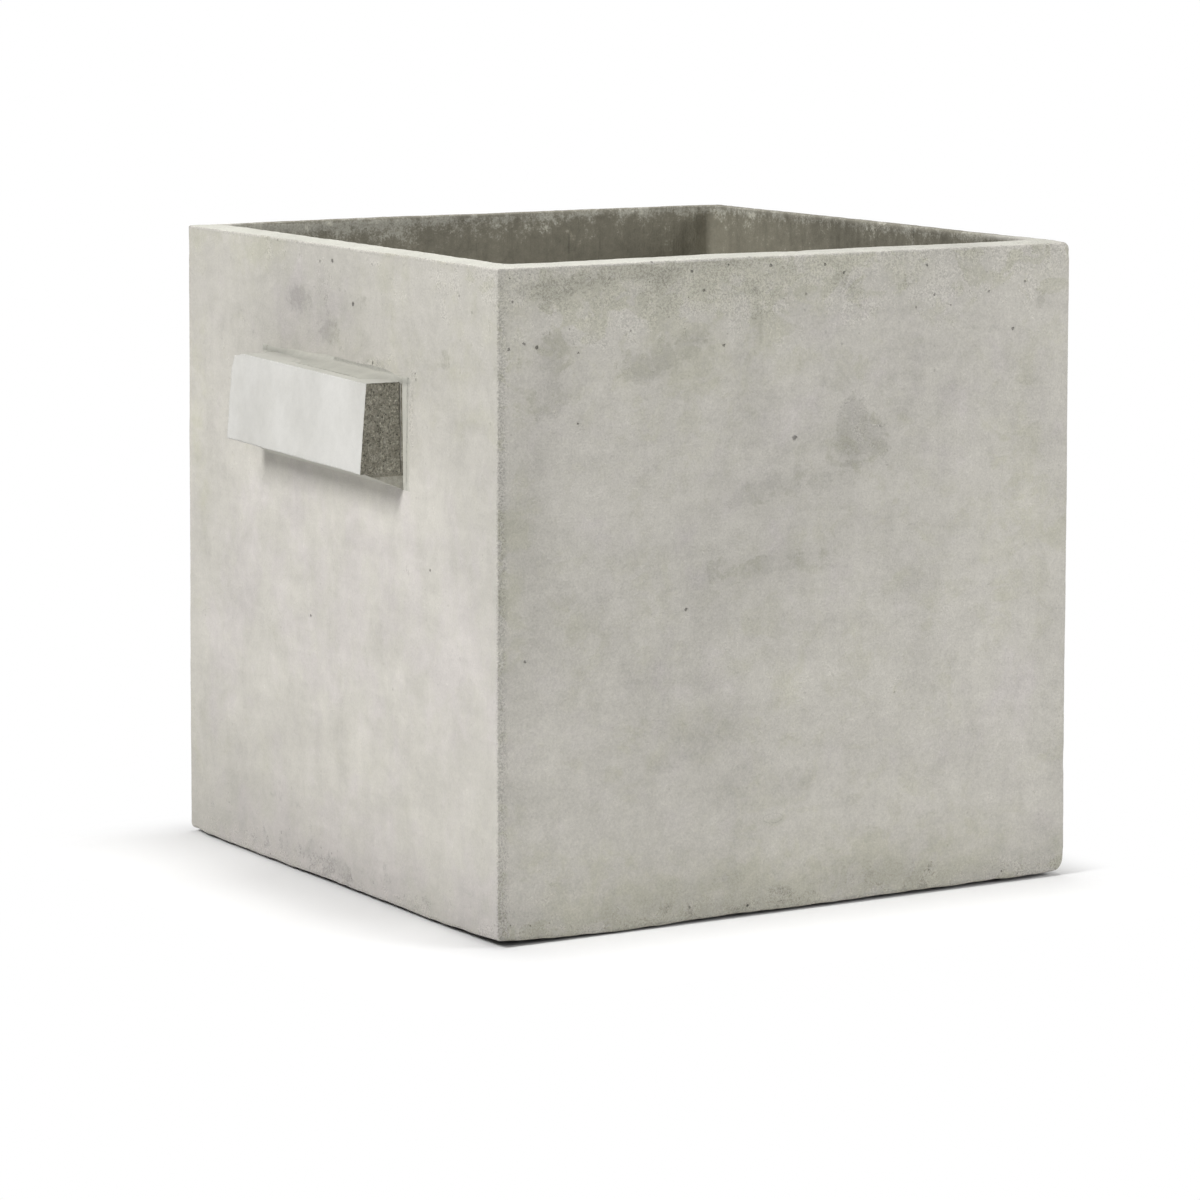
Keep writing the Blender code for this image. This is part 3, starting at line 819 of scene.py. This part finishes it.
def make_shell(material):
    low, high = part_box("planter_shell")
    height = high.z - low.z
    half_x = (high.x - low.x) / 2 - OUTER_TAPER
    half_y = (high.y - low.y) / 2 - OUTER_TAPER
    rows = shell_rows(height)
    grid = shell_grid(rows, half_x, half_y)
    columns = grid.shape[1]
    zones = np.repeat(np.array([row[4] for row in rows]), columns)
    insets = np.repeat(np.array([row[0] for row in rows]), columns)
    points = grid.reshape(-1, 3)
    normals = grid_normals(grid).reshape(-1, 3)

    x, y, z = points.T.copy()
    side_x = half_x - insets - np.abs(x)
    side_y = half_y - insets - np.abs(y)
    from_arris = np.maximum(side_x, side_y)
    outer = zones == "outer"
    under = zones == "under"
    rim = zones == "rim"
    inner = zones == "inner"
    by_rim = np.where(outer | rim | inner, fade(height - z, RIM_ZONE), 0)
    from_side = np.minimum(half_x - np.abs(x), half_y - np.abs(y))
    by_foot = np.where(outer, fade(z, FOOT_ZONE), 0)
    by_foot += np.where(under, fade(np.maximum(from_side, 0), UNDER_ZONE), 0)
    by_arris = np.where(outer | rim, fade(np.maximum(from_arris, 0), ARRIS_ZONE), 0)
    near_edge = np.clip(np.maximum.reduce([by_rim, fade(z, 0.005) * outer, by_arris]), 0, 1)

    # The walls wave a little, less behind the handles, where the mortar lies on them.
    behind = fade(y, 0.13) * fade(z - HANDLE_CENTRE_HEIGHT, 0.06) * (np.abs(x) > 0.17)
    wave = 0.00030 * noise(points, 0.110, 3) + 0.00012 * noise(points, 0.034, 5)
    wave += 0.00005 * noise(points, 0.010, 6)
    wave *= np.where(outer | rim, 1 - 0.8 * behind, 0)
    brushed = 0.00045 * noise(points, 0.060, 8) + 0.00022 * noise(points * (3, 3, 0.6), 0.025, 9)
    wave += np.where(inner, brushed, 0)
    wave += np.where(zones == "floor", 0.00035 * noise(points, 0.030, 11, 3), 0)
    crumble = 0.00015 * noise(points, 0.0065, 14, 2) * near_edge
    chips = -0.00070 * np.maximum(noise(points, 0.009, 17, 2) - 0.5, 0)
    chips *= np.maximum(by_rim, by_arris) * ~inner
    chips += -0.0014 * np.maximum(noise(points, 0.014, 19, 2) - 0.5, 0) * np.where(outer, by_foot, 0)
    points = points + normals * (wave + crumble + chips)[:, None]

    hidden = inner | (zones == "floor")
    for corner_x, corner_y, at_top, radius in WORN_CORNERS:
        near = fade(np.hypot(x - corner_x * half_x, y - corner_y * half_y), 0.020) * ~hidden
        back = worn_corner(height - z if at_top else z, radius) * near
        back *= 0.62 + 0.08 * noise(points, 0.006, 29)
        points[:, 0] -= corner_x * back
        points[:, 1] -= corner_y * back * 0.5

    # The rim was struck off by hand, higher inside than outside, and the foot is uneven where the mix met
    # the mould's joint.
    tipped = RIM_TIP * np.clip(insets / RIM_THICKNESS, 0, 1) - 0.25 * RIM_TIP
    points[:, 2] += np.where(rim, 1, by_rim) * tipped
    points[:, 2] += by_rim * (0.00030 * noise(points, 0.085, 21) + 0.00012 * noise(points, 0.020, 23))
    on_front = side_y < side_x
    uneven = 0.00025 * noise(points, 0.060, 25) + 0.00022 * noise(points, 0.013, 27, 2)
    foot = np.where(y < -0.8 * half_y, foot_height(x, FRONT_FOOT), 0)
    foot = np.where((x < -0.8 * half_x) & ~(on_front & (y < 0)), foot_height(y, LEFT_FOOT), foot)
    points[:, 2] += by_foot * (foot + uneven)
    points[:, 2] = np.clip(points[:, 2], -FOOT_DROP, None)

    # Tone: two visible walls have their own marks, and the others draw theirs from noise. All are darker at
    # the foot, which is painted shade with some real dirt.
    warp = 0.004 * noise(points, 0.030, 31, 2)
    up = z + low.z + 0.004 * noise(points, 0.025, 33, 2)
    left = outer & (x < -0.97 * half_x) & ~(on_front & (y < 0))
    front = outer & (y < -0.97 * half_y) & ~left

    def marks(front_spots, left_spots, others):
        chosen = np.where(left, patches(y + warp, up, left_spots), np.where(outer, others, 0))
        return np.where(front, patches(x + warp, up, front_spots), chosen)

    tone = marks(FRONT_TONES, LEFT_TONES, 0.05 * noise(points, 0.090, 35, 2) - 0.10 * fade(z, 0.03))
    # Both walls are darker at the foot, which is painted shade with some real dirt; the left one is also
    # darker towards its top.
    left_wall_darkening = 0.155 * np.clip((z - 0.225) / 0.080, 0, 1) * (1 - 0.3 * (1 - fade(y, 0.12)))
    left_wall_darkening += 0.085 * fade(z, 0.050) - 0.055 + 0.055 * fade(y + half_y, 0.110)
    tone -= np.where(left, left_wall_darkening, 0)
    arris = 0.10 * fade(np.maximum(x + half_x - 0.0015, 0), 0.0045)
    tone -= np.where(front, 0.075 * fade(z, 0.050) + 0.02 * fade(height - z, 0.030) + arris, 0)
    olive = marks(FRONT_OLIVES, LEFT_OLIVES, 0.25 * noise(points, 0.080, 37, 2))
    olive -= np.where(left, 0.45 * fade(z - 0.155, 0.110), 0)
    by_back = y > 0.9 * half_y - RIM_THICKNESS
    in_back = inner & by_back
    # Painted light: the back wall inside is made lighter towards its right-hand corner.
    tone += np.where(in_back, 0.16 * np.clip((x - 0.100) / 0.060, 0, 1), 0)
    # Painted shade: the right wall inside is made darker towards the front, and a little lighter at its back.
    towards_front = np.clip((0.100 - y) / 0.080, 0, 1)
    tone -= np.where(inner & (x > 0.15) & ~in_back, 0.24 * towards_front - 0.06, 0)
    stain = marks(FRONT_STAINS, LEFT_STAINS, 0.55 * np.maximum(noise(points, 0.050, 39, 2), 0))

    # Sand shows in an uneven band under the rim, strongest on the front wall.
    depth = height - z
    band = fade(np.maximum(depth - 0.014 * noise(points, 0.045, 41, 2) - 0.012, 0), 0.050)
    band *= np.where(left, 0.20 + 0.25 * fade(y + 0.178, 0.12), np.where(front, 0.58 - 0.7 * x, 0.5))
    on_rim = np.where(rim, 0.28 + 0.4 * fade(insets, 0.003), 0)
    sand = np.where(outer, band + 0.50 * fade(z, 0.022) - 0.06, on_rim)
    on_edges = 0.30 * fade(depth, 0.007) + 0.85 * fade(x + half_x, 0.008)
    sand += np.where(front, on_edges + 0.30 * fade(x - 0.055, 0.04) * fade(z - 0.27, 0.06), 0)
    sand += np.where(left, patches(y + warp, up, SAND_BESIDE_HANDLE), 0)

    # The rims of the back and right walls are darkened to the interior's colour.
    far_x = (x > half_x - DARK_RIM_WIDTH) * np.clip((y + half_y - 0.030) / 0.080, 0, 1)
    far_y = (y > half_y - DARK_RIM_WIDTH) * np.clip((x + half_x - 0.020) / 0.030, 0, 1)
    far = np.maximum(far_x, far_y)
    dark_far_rim = np.where(rim, np.clip(1.6 * far + 0.2 * noise(points, 0.006, 43), 0, 0.85), 0)
    dark_far_rim *= far > 0
    on_back = np.clip(0.80 - 2.6 * (x + 0.10), 0.42, 1.0)
    share = np.where(by_back, on_back, np.where(x > 0, 0.30, 0.8))
    dusty = fade(depth, 0.026) * 1.1 * share + 0.5 * fade(depth, 0.006) - 0.15
    dusty = np.where(inner, dusty, np.where(rim, 0.35, np.where(zones == "floor", 0.15, 0)))
    # Painted light: the rims' tops are made paler, not on the darkened far rims, and less along the front rim
    # to the right.
    pale = np.where(rim & (insets > 0.0005) & (insets < RIM_THICKNESS - 0.0002), 1 - dark_far_rim, 0.0)
    pale *= 1 - 0.35 * (1 - fade(x + half_x, 0.30)) * (y < 0)
    attributes = {
        "wall": unrolled(grid),
        "inside": np.where(inner | (zones == "floor") | (zones == "hole"), 1.0, dark_far_rim),
        "edge": near_edge * np.where(rim, 0.5, 1.0),
        "sand": sand,
        "tone": tone,
        "stain": stain,
        "olive": olive,
        "rim": pale,
        "dusty": dusty,
        # Painted shade: marks the underside, which the material colours near black.
        "under": np.where(under, 1.0, 0.0),
        "coarse": np.where(front, 1.0, np.where(left, 0.1, 0.6)),
    }
    points[:, 2] += low.z
    faces = grid_faces(len(rows), columns, close_rows=True)
    return add_piece("planter_box_shell", points, faces, material, attributes)


# ---------------------------------------------------------------- handles

def seat_matrix(turn):
    """From a handle's own frame (x out of the wall, y along the block, z up) to the model's."""
    low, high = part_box("planter_shell")
    height = high.z - low.z
    lean = math.atan(OUTER_TAPER / height)
    reach = (high.x - low.x) / 2 - OUTER_TAPER * HANDLE_CENTRE_HEIGHT / height
    turned = Matrix.Rotation(turn, 4, "Z")
    place = Matrix.Translation((reach, 0, low.z + HANDLE_CENTRE_HEIGHT))
    return turned @ place @ Matrix.Rotation(-lean, 4, "Y") @ Matrix.Rotation(HANDLE_TILT, 4, "X")


def placed(points, matrix):
    """The points moved by a matrix."""
    return points @ np.array(matrix.to_3x3()).T + np.array(matrix.translation)


def box_grid(counts):
    """Lattice points and quads over the surface of a box of unit cells."""
    index = {}
    faces = []
    for axis in range(3):
        first, second = [a for a in range(3) if a != axis]
        for end in (0, counts[axis]):
            for i, j in itertools.product(range(counts[first]), range(counts[second])):
                quad = []
                for step_i, step_j in ((0, 0), (1, 0), (1, 1), (0, 1)):
                    key = [0, 0, 0]
                    key[axis] = end
                    key[first] = i + step_i
                    key[second] = j + step_j
                    quad.append(index.setdefault(tuple(key), len(index)))
                faces.append(quad)
    return np.array(list(index), float), faces


def make_handle_block(side, matrix, seed, material):
    size = np.array([HANDLE_REACH_BOTTOM - HANDLE_BACK, HANDLE_LENGTH, HANDLE_HEIGHT])
    cuts = []
    for length in size:
        between = graded(0.0, length, HANDLE_EDGE_CELL, HANDLE_CELL, 0.005)
        cuts.append(np.array([0.0, *between, length]))
    lattice_points, faces = box_grid([len(cut) - 1 for cut in cuts])
    points = np.column_stack([cut[lattice_points[:, axis].astype(int)] for axis, cut in enumerate(cuts)])
    points -= (0, size[1] / 2, size[2] / 2)

    # Long edges are eased, the ends were cut square, and the far upper corner is rubbed round.
    away_end = size[1] / 2 - np.abs(points[:, 1])
    rubbed = fade(points[:, 1] + size[1] / 2, 0.016) * fade(points[:, 2] - size[2] / 2, 0.012)
    radius = HANDLE_END_EDGE + (HANDLE_EDGE - HANDLE_END_EDGE) * np.clip(away_end / 0.010, 0, 1)
    low = np.array([-0.01, -size[1] / 2, -size[2] / 2])
    high = np.array([size[0], size[1] / 2, size[2] / 2])
    core = np.clip(points, low + radius[:, None], high - radius[:, None])
    away = points - core
    distance = np.linalg.norm(away, axis=1, keepdims=True)
    points = np.where(distance > 1e-9, core + away / np.maximum(distance, 1e-9) * radius[:, None], points)
    normals = np.where(distance > 1e-9, away / np.maximum(distance, 1e-9), 0)

    # The front leans, so the block is deeper at its lower edge, and so do the ends, a little.
    share = points[:, 2] / size[2] + 0.5
    deep = (HANDLE_REACH_TOP - HANDLE_REACH_BOTTOM) / size[0] * share + 1
    points[:, 0] = HANDLE_BACK + points[:, 0] * deep

    facing_end = np.abs(normals[:, 1])
    broken = np.where((facing_end > 0.5) & (away_end < 0.0008), 1.0, 0.0)
    local = points + (0, 0, seed * 0.37)
    edge_x = np.minimum(HANDLE_BACK + size[0] * deep - points[:, 0], 1)
    edges = np.stack([np.abs(edge_x), away_end, size[2] / 2 - np.abs(points[:, 2])])
    by_edge = fade(np.sort(edges, axis=0)[1], 0.0035)
    move = 0.00022 * noise(local, 0.050, 51 + seed) + 0.00010 * noise(local, 0.012, 53 + seed)
    move += by_edge * 0.00012 * noise(local, 0.004, 55 + seed, 2)
    move += broken * (0.00032 * noise(local, 0.0040, 57 + seed, 3) - 0.00020)
    move -= 0.0007 * by_edge * np.maximum(noise(local, 0.0075, 59 + seed, 2) - 0.55, 0)
    points = points + normals * move[:, None]
    points[:, 2] -= 0.0022 * rubbed * fade(edges[2], 0.008)
    points[:, 1] += 0.0022 * rubbed * fade(away_end, 0.008)
    points[:, 1] -= HANDLE_END_LEAN * points[:, 2]
    tone = 0.04 * noise(local, 0.030, 61 + seed, 2)
    # The top face, where the material paints shade.
    top = np.where(normals[:, 2] > 0.7, 1.0, 0.0)
    attributes = {"broken": broken, "edge": by_edge, "tone": tone, "top": top}
    points = placed(points, matrix)
    return add_piece(f"{side}_handle_block", points, faces, material, attributes, HANDLE_CREASE)


def mortar_section():
    """The mortar's full section as (out, up) pairs, from its lower feather edge to its upper one."""
    half = HANDLE_HEIGHT / 2
    section = []
    for share in np.linspace(0, 1, 13):
        out = WEDGE_REACH * share**1.15
        section.append((max(out, SKIM * share * 3) + 0.0002, -half - WEDGE_HEIGHT * (1 - share) - 0.0001))
    section[0] = (0.0, section[0][1])
    section.insert(0, (SKIM_BURIED, section[0][1] - 0.0012))
    section += [(WEDGE_REACH, -half + 0.0002), (SKIM, -half + 0.0006)]
    section += [(SKIM, height) for height in np.linspace(-half, half, 21)[1:-1]]
    section += [(SKIM, half - 0.0006), (COVE_REACH, half - 0.0002)]
    for angle in np.radians(np.linspace(0, 90, 11)):
        out = COVE_REACH * (1 - math.sin(angle))
        section.append((out, half + 0.0001 + COVE_HEIGHT * (1 - math.cos(angle))))
    section.append((SKIM_BURIED, section[-1][1] + 0.0012))
    return np.array(section)


def make_handle_mortar(side, matrix, seed, material):
    section = mortar_section()
    half = HANDLE_LENGTH / 2
    inner = half - 0.0006
    body = np.linspace(-inner, inner, round(HANDLE_LENGTH / MORTAR_CELL))
    body = np.concatenate([[-half + 0.0001, -half + 0.0003], body, [half - 0.0003, half - 0.0001]])
    skirt = np.array([0.0, 0.0003, 0.0012, 0.0022, 0.0032, 0.0042, 0.0052, 0.0062, 0.0072, 0.0082])
    stations = [(-half - far, False) for far in skirt[::-1]] + [(at, True) for at in body]
    stations += [(half + far, False) for far in skirt]
    low_end, high_end = section[0, 1], section[-1, 1]
    rings = []
    raw = []
    for at, full in stations:
        out = section[:, 0].copy()
        up = section[:, 1].copy()
        beyond = max(abs(at) - half, 0.0)
        cove = section[:, 1] > HANDLE_HEIGHT / 2 - 0.001
        close = float(fade(half - abs(at), COVE_FADE if at > 0 else 3 * COVE_FADE))
        out = np.where(cove, out + (np.minimum(out, SKIM_AT_END) - out) * close, out)
        up = np.where(cove, up - 0.6 * COVE_HEIGHT * close * (up > HANDLE_HEIGHT / 2), up)
        thin = SKIM_AT_END * np.minimum(1.0, np.minimum(up - low_end, high_end - up) / 0.005)
        if not full:
            spot = np.column_stack([out * 0, np.full(len(out), at * 0.2), up + seed])
            furthest = SKIM_REACH * (1 + 0.30 * noise(spot, 0.007, 79 + seed, 2))
            reach = np.clip(1 - beyond / furthest, -0.65, 1.0)
            out = np.where(reach > 0, thin * (0.4 + 0.6 * reach), SKIM_BURIED * -reach / 0.65)
            out[0] = out[-1] = SKIM_BURIED
        where = np.column_stack([out, np.full(len(out), at), up + seed])
        rough = 0.00018 * noise(where, 0.006, 71 + seed, 2) + 0.00022 * noise(where, 0.022, 73 + seed)
        up = up + 0.0006 * noise(where, 0.018, 75 + seed) * (np.abs(up) > HANDLE_HEIGHT / 2)
        free = (out > 0.0003) & (np.abs(section[:, 1]) > HANDLE_HEIGHT / 2)
        out = out + np.where(free, rough, np.where(full, 0, 0.4 * rough))
        back = [(SKIM_BURIED - 0.0006, height) for height in (high_end, low_end)]
        lean = HANDLE_END_LEAN * min(abs(at) / half, 1.0) if abs(at) > 0.5 * half else 0.0
        ring = [(o, at - lean * u, u) for o, u in zip(out, up)] + [(o, at, u) for o, u in back]
        rings.append(ring)
        cut = 1.0 if abs(abs(at) - half) < 0.00015 else 0.0
        raw.append(np.where(np.array(ring)[:, 2] > -HANDLE_HEIGHT / 2 - 0.0012, cut, 0.50 * cut))
    grid = np.array(rings)
    count = grid.shape[1]
    faces = grid_faces(len(rings), count).tolist()
    faces.append(list(range(count))[::-1])
    faces.append([(len(rings) - 1) * count + i for i in range(count)])
    points = grid.reshape(-1, 3)
    corner = points[:, 2] - HANDLE_HEIGHT / 2 - 0.004
    sand = 0.10 + np.where(points[:, 1] > 0.0, 0.70, 0.0) * fade(corner, 0.0022)
    sand += np.where(points[:, 1] > 0.0, 0.60, 0.0) * fade(points[:, 1] - half - 0.0048, 0.0016)
    over = points[:, 2] - HANDLE_HEIGHT / 2
    # How much painted shade the cove takes, most where it meets the block's top.
    cove = np.where(over > -0.001, 0.35 + 0.65 * fade(over, 0.9 * COVE_HEIGHT), 0.0)
    attributes = {"sand": sand, "raw": np.concatenate(raw), "cove": cove}
    points = placed(points, matrix)
    return add_piece(f"{side}_handle_bedding", points, faces, material, attributes, HANDLE_CREASE)


# ---------------------------------------------------------------- plug and pads

def lathe(profile, steps):
    """Points and faces of a closed profile of (radius, height) pairs turned round Z, its ends on the axis."""
    inner = profile[1:-1]
    angles = np.linspace(0, 2 * math.pi, steps, endpoint=False)
    points = [(r * math.cos(a), r * math.sin(a), z) for r, z in inner for a in angles]
    faces = grid_faces(len(inner), steps).tolist()
    points += [(0, 0, profile[0][1]), (0, 0, profile[-1][1])]
    bottom, top = len(points) - 2, len(points) - 1
    last = (len(inner) - 1) * steps
    faces += [[bottom, (i + 1) % steps, i] for i in range(steps)]
    faces += [[top, last + i, last + (i + 1) % steps] for i in range(steps)]
    return np.array(points), faces


def dense(profile, spacing):
    """The profile with points added so that none are further apart than spacing."""
    made = [profile[0]]
    for here, after in zip(profile, profile[1:]):
        count = max(1, math.ceil(math.dist(here, after) / spacing))
        for step in range(1, count + 1):
            share = step / count
            made.append(tuple(a + (b - a) * share for a, b in zip(here, after)))
    return made


def make_plug(material):
    """A moulded bung: a ribbed, tapered stem, a dished flange with a raised lip, and a pull tab."""
    low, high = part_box("drain_plug")
    seat = low.z + PLUG_STEM_LENGTH
    stem = DRAIN_RADIUS - 0.0005
    flange = PLUG_FLANGE_RADIUS
    profile = [(0, -PLUG_STEM_LENGTH), (stem - 0.0022, -PLUG_STEM_LENGTH), (stem - 0.0012, -0.0142)]
    for rib in range(PLUG_RIBS):
        z = -0.0135 + rib * PLUG_RIB_PITCH
        grow = 0.0002 * rib
        profile += [
            (stem - 0.0011 + grow, z),
            (stem - 0.0006 + grow, z + 0.0010),
            (stem - 0.0006 + grow, z + 0.0018),
            (stem - 0.0012 + grow, z + 0.0026),
        ]
    profile += [(stem - 0.0003, 0.0001), (flange - 0.0007, 0.0001), (flange - 0.0001, 0.0006)]
    profile += [(flange, 0.0018), (flange - 0.0005, 0.0027), (flange - 0.0015, PLUG_FLANGE_THICKNESS)]
    profile += [(flange - 0.0025, 0.0028), (flange - 0.0035, 0.0021), (0.0120, 0.0020), (0, 0.0020)]
    points, faces = lathe(dense(profile, 0.0006), 96)
    turned_count = len(points)

    # The tab: a slab with a half-round top and a finger dish on each side.
    tab_low, tab_high = 0.0008, high.z - seat
    width, thick = PLUG_TAB_WIDTH, PLUG_TAB_THICKNESS
    counts = (34, 8, 32)
    lattice_points, tab_faces = box_grid(counts)
    unit = lattice_points / counts
    across = unit[:, 0] * 2 - 1
    through = unit[:, 1] * 2 - 1
    up = tab_low + unit[:, 2] * (tab_high - tab_low)
    crown = tab_high - width / 2
    above = np.clip((up - crown) / (width / 2), 0, 1)
    half_width = width / 2 * np.sqrt(np.maximum(1 - above**2, 0.0))
    foot = 0.0016 * fade(up - tab_low, 0.0045)
    dish = 0.0008 * np.exp(-((across * width / 2) ** 2 + (up - crown) ** 2) / 0.0048**2)
    edge = np.sqrt(np.clip(1 - np.clip((np.abs(across) - 0.86) / 0.14, 0, 1) ** 2 * 0.75, 0, 1))
    edge *= np.sqrt(np.clip(1 - np.clip((above - 0.93) / 0.07, 0, 1) ** 2 * 0.75, 0.05, 1))
    tab = np.column_stack([
        across * (half_width + foot),
        through * ((thick / 2 - dish) * edge + foot),
        up,
    ])
    points = np.concatenate([points, tab])
    faces = faces + [[index + turned_count for index in face] for face in tab_faces]
    points[:, 2] += seat
    raw = add_piece("raw_plug", points, faces, material)
    remesh = raw.modifiers.new("one skin", "REMESH")
    remesh.mode = "VOXEL"
    remesh.voxel_size = PLUG_VOXEL
    remesh.use_smooth_shade = True
    smooth = raw.modifiers.new("soften", "SMOOTH")
    smooth.factor = 0.5
    smooth.iterations = 3
    depsgraph = bpy.context.evaluated_depsgraph_get()
    mesh = bpy.data.meshes.new_from_object(raw.evaluated_get(depsgraph))
    bpy.data.objects.remove(raw, do_unlink=True)
    mesh.name = "moulded_drain_plug"
    mesh.materials.clear()
    mesh.materials.append(material)
    mesh.shade_smooth()
    return put_in_scene("moulded_drain_plug", mesh)


def make_pad(node, material):
    """A thin pad with a rounded edge and a shallow groove round its face."""
    low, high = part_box(node)
    radius = (high.x - low.x) / 2
    top = high.z - low.z
    profile = [(0, 0.0), (radius * 0.68, 0.0), (radius * 0.72, 0.0003), (radius * 0.76, 0.0)]
    profile += [(radius - 0.0006, 0.0), (radius - 0.0001, 0.0004), (radius, top / 2)]
    profile += [(radius - 0.0001, top - 0.0004), (radius - 0.0006, top), (0, top)]
    points, faces = lathe(dense(profile, 0.0012), 72)
    middle = (low + high) / 2
    points = points + (middle.x, middle.y, low.z)
    return add_piece(f"{node}_moulded", points, faces, material)


# ---------------------------------------------------------------- stage

def make_floor():
    """A pale floor, lit near the box and plain white further off."""
    mesh = bpy.data.meshes.new("studio_floor")
    bm = bmesh.new()
    bmesh.ops.create_grid(bm, x_segments=8, y_segments=8, size=40.0)
    bm.to_mesh(mesh)
    bm.free()
    floor = put_in_scene("studio_floor", mesh)
    s = Shader("studio_floor")
    part = s.node("SeparateXYZ", {0: s.place})
    beyond = []
    for axis in (0, 1):
        off = s.math("ABSOLUTE", s.math("ADD", part.outputs[axis], -LIT_MIDDLE))
        beyond.append(s.math("MAXIMUM", s.math("SUBTRACT", off, LIT_HALF), 0.0))
    distance = s.math("SQRT", s.add(s.times(beyond[0], beyond[0]), s.times(beyond[1], beyond[1])))
    far = s.ramp(distance, 0.0, LIT_FADE)
    paper = s.noise(9.0, 3.0, 0.5)
    albedo = s.colour_mix(s.ramp(paper, -0.3, 0.3), (FLOOR_ALBEDO,) * 3, (FLOOR_ALBEDO - 0.01,) * 3)
    rays = s.node("LightPath").outputs["Is Camera Ray"]
    strength = s.ramp(rays, 0.0, 1.0, FLOOR_GLOW, 1.0)
    diffuse = s.node("BsdfDiffuse", {"Color": albedo}).outputs[0]
    glow = s.node("Emission", {"Color": WHITE, "Strength": strength}).outputs[0]
    mix = s.node("MixShader", {0: far, 1: diffuse, 2: glow}).outputs[0]
    s.put(s.nodes["Material Output"].inputs["Surface"], mix)
    s.nodes.remove(s.surface)
    mesh.materials.append(s.material)


def make_area_light(name, place, target, size, power):
    lamp = bpy.data.lights.new(name, "AREA")
    lamp.shape = "RECTANGLE"
    lamp.size, lamp.size_y = size
    lamp.energy = power
    obj = put_in_scene(name, lamp)
    obj.location = place
    aim = Vector(target) - Vector(place)
    obj.rotation_euler = aim.to_track_quat("-Z", "Y").to_euler()


def direction(bearing, elevation):
    """A unit vector at a bearing from -X towards -Y and an elevation, in degrees."""
    a, e = math.radians(bearing), math.radians(elevation)
    return Vector((-math.cos(a) * math.cos(e), -math.sin(a) * math.cos(e), math.sin(e)))


def make_lights():
    key_place = Vector(LIGHT_TARGET) + direction(KEY_BEARING, KEY_ELEVATION) * KEY_DISTANCE
    make_area_light("key", key_place, LIGHT_TARGET, KEY_SIZE, KEY_POWER)
    make_area_light("top", TOP_PLACE, TOP_TARGET, TOP_SIZE, TOP_POWER)
    make_area_light("fill", FILL_PLACE, FILL_TARGET, FILL_SIZE, FILL_POWER)
    world = bpy.data.worlds.new("studio")
    bpy.context.scene.world = world
    world.use_nodes = True
    nodes, links = world.node_tree.nodes, world.node_tree.links
    soft = nodes["Background"]
    soft.inputs["Strength"].default_value = WORLD_STRENGTH
    soft.inputs["Color"].default_value = WHITE
    seen = nodes.new("ShaderNodeBackground")
    seen.inputs["Color"].default_value = WHITE
    seen.inputs["Strength"].default_value = 1.0
    rays = nodes.new("ShaderNodeLightPath")
    mix = nodes.new("ShaderNodeMixShader")
    links.new(rays.outputs["Is Camera Ray"], mix.inputs[0])
    links.new(soft.outputs[0], mix.inputs[1])
    links.new(seen.outputs[0], mix.inputs[2])
    links.new(mix.outputs[0], nodes["World Output"].inputs["Surface"])


def make_camera():
    data = bpy.data.cameras.new("camera")
    data.sensor_width = CAMERA_SENSOR
    data.lens = CAMERA_LENS
    data.clip_end = 200.0
    camera = put_in_scene("camera", data)
    camera.location = CAMERA_PLACE
    turn = Matrix.Rotation(-CAMERA_YAW, 3, "Z") @ Matrix.Rotation(math.pi / 2 - CAMERA_PITCH, 3, "X")
    camera.rotation_euler = (turn @ Matrix.Rotation(CAMERA_ROLL, 3, "Z")).to_euler()
    bpy.context.scene.camera = camera


# ---------------------------------------------------------------- the scene

shell = make_shell(shell_material())
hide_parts("planter_shell")
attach(shell, "planter")

concrete = handle_material()
mortar = mortar_material()
steel = steel_material()
for index, (side, turn) in enumerate((("left", math.pi), ("right", 0.0))):
    matrix = seat_matrix(turn)
    block = make_handle_block(side, matrix, index, concrete)
    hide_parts(f"{side}_handle")
    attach(block, "planter")
    bedding = make_handle_mortar(side, matrix, index, mortar)
    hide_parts(f"{side}_handle_mortar")
    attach(bedding, "planter")
    for end in ("front", "back"):
        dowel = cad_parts[f"{side}_handle_dowel_{end}"]
        dowel.data.materials.clear()
        dowel.data.materials.append(steel)

plug = make_plug(rubber_material("plug_rubber", PLUG_BLACK, PLUG_BLOOM))
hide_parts("drain_plug")
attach(plug, "plug")

pad_rubber = rubber_material("pad_rubber", PAD_BLACK, PAD_BLOOM)
for node in ("foot_pad_front_left", "foot_pad_front_right", "foot_pad_back_left", "foot_pad_back_right"):
    pad = make_pad(node, pad_rubber)
    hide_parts(node)
    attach(pad, "planter")

make_floor()
make_lights()
make_camera()
bpy.context.scene.view_settings.view_transform = "Standard"
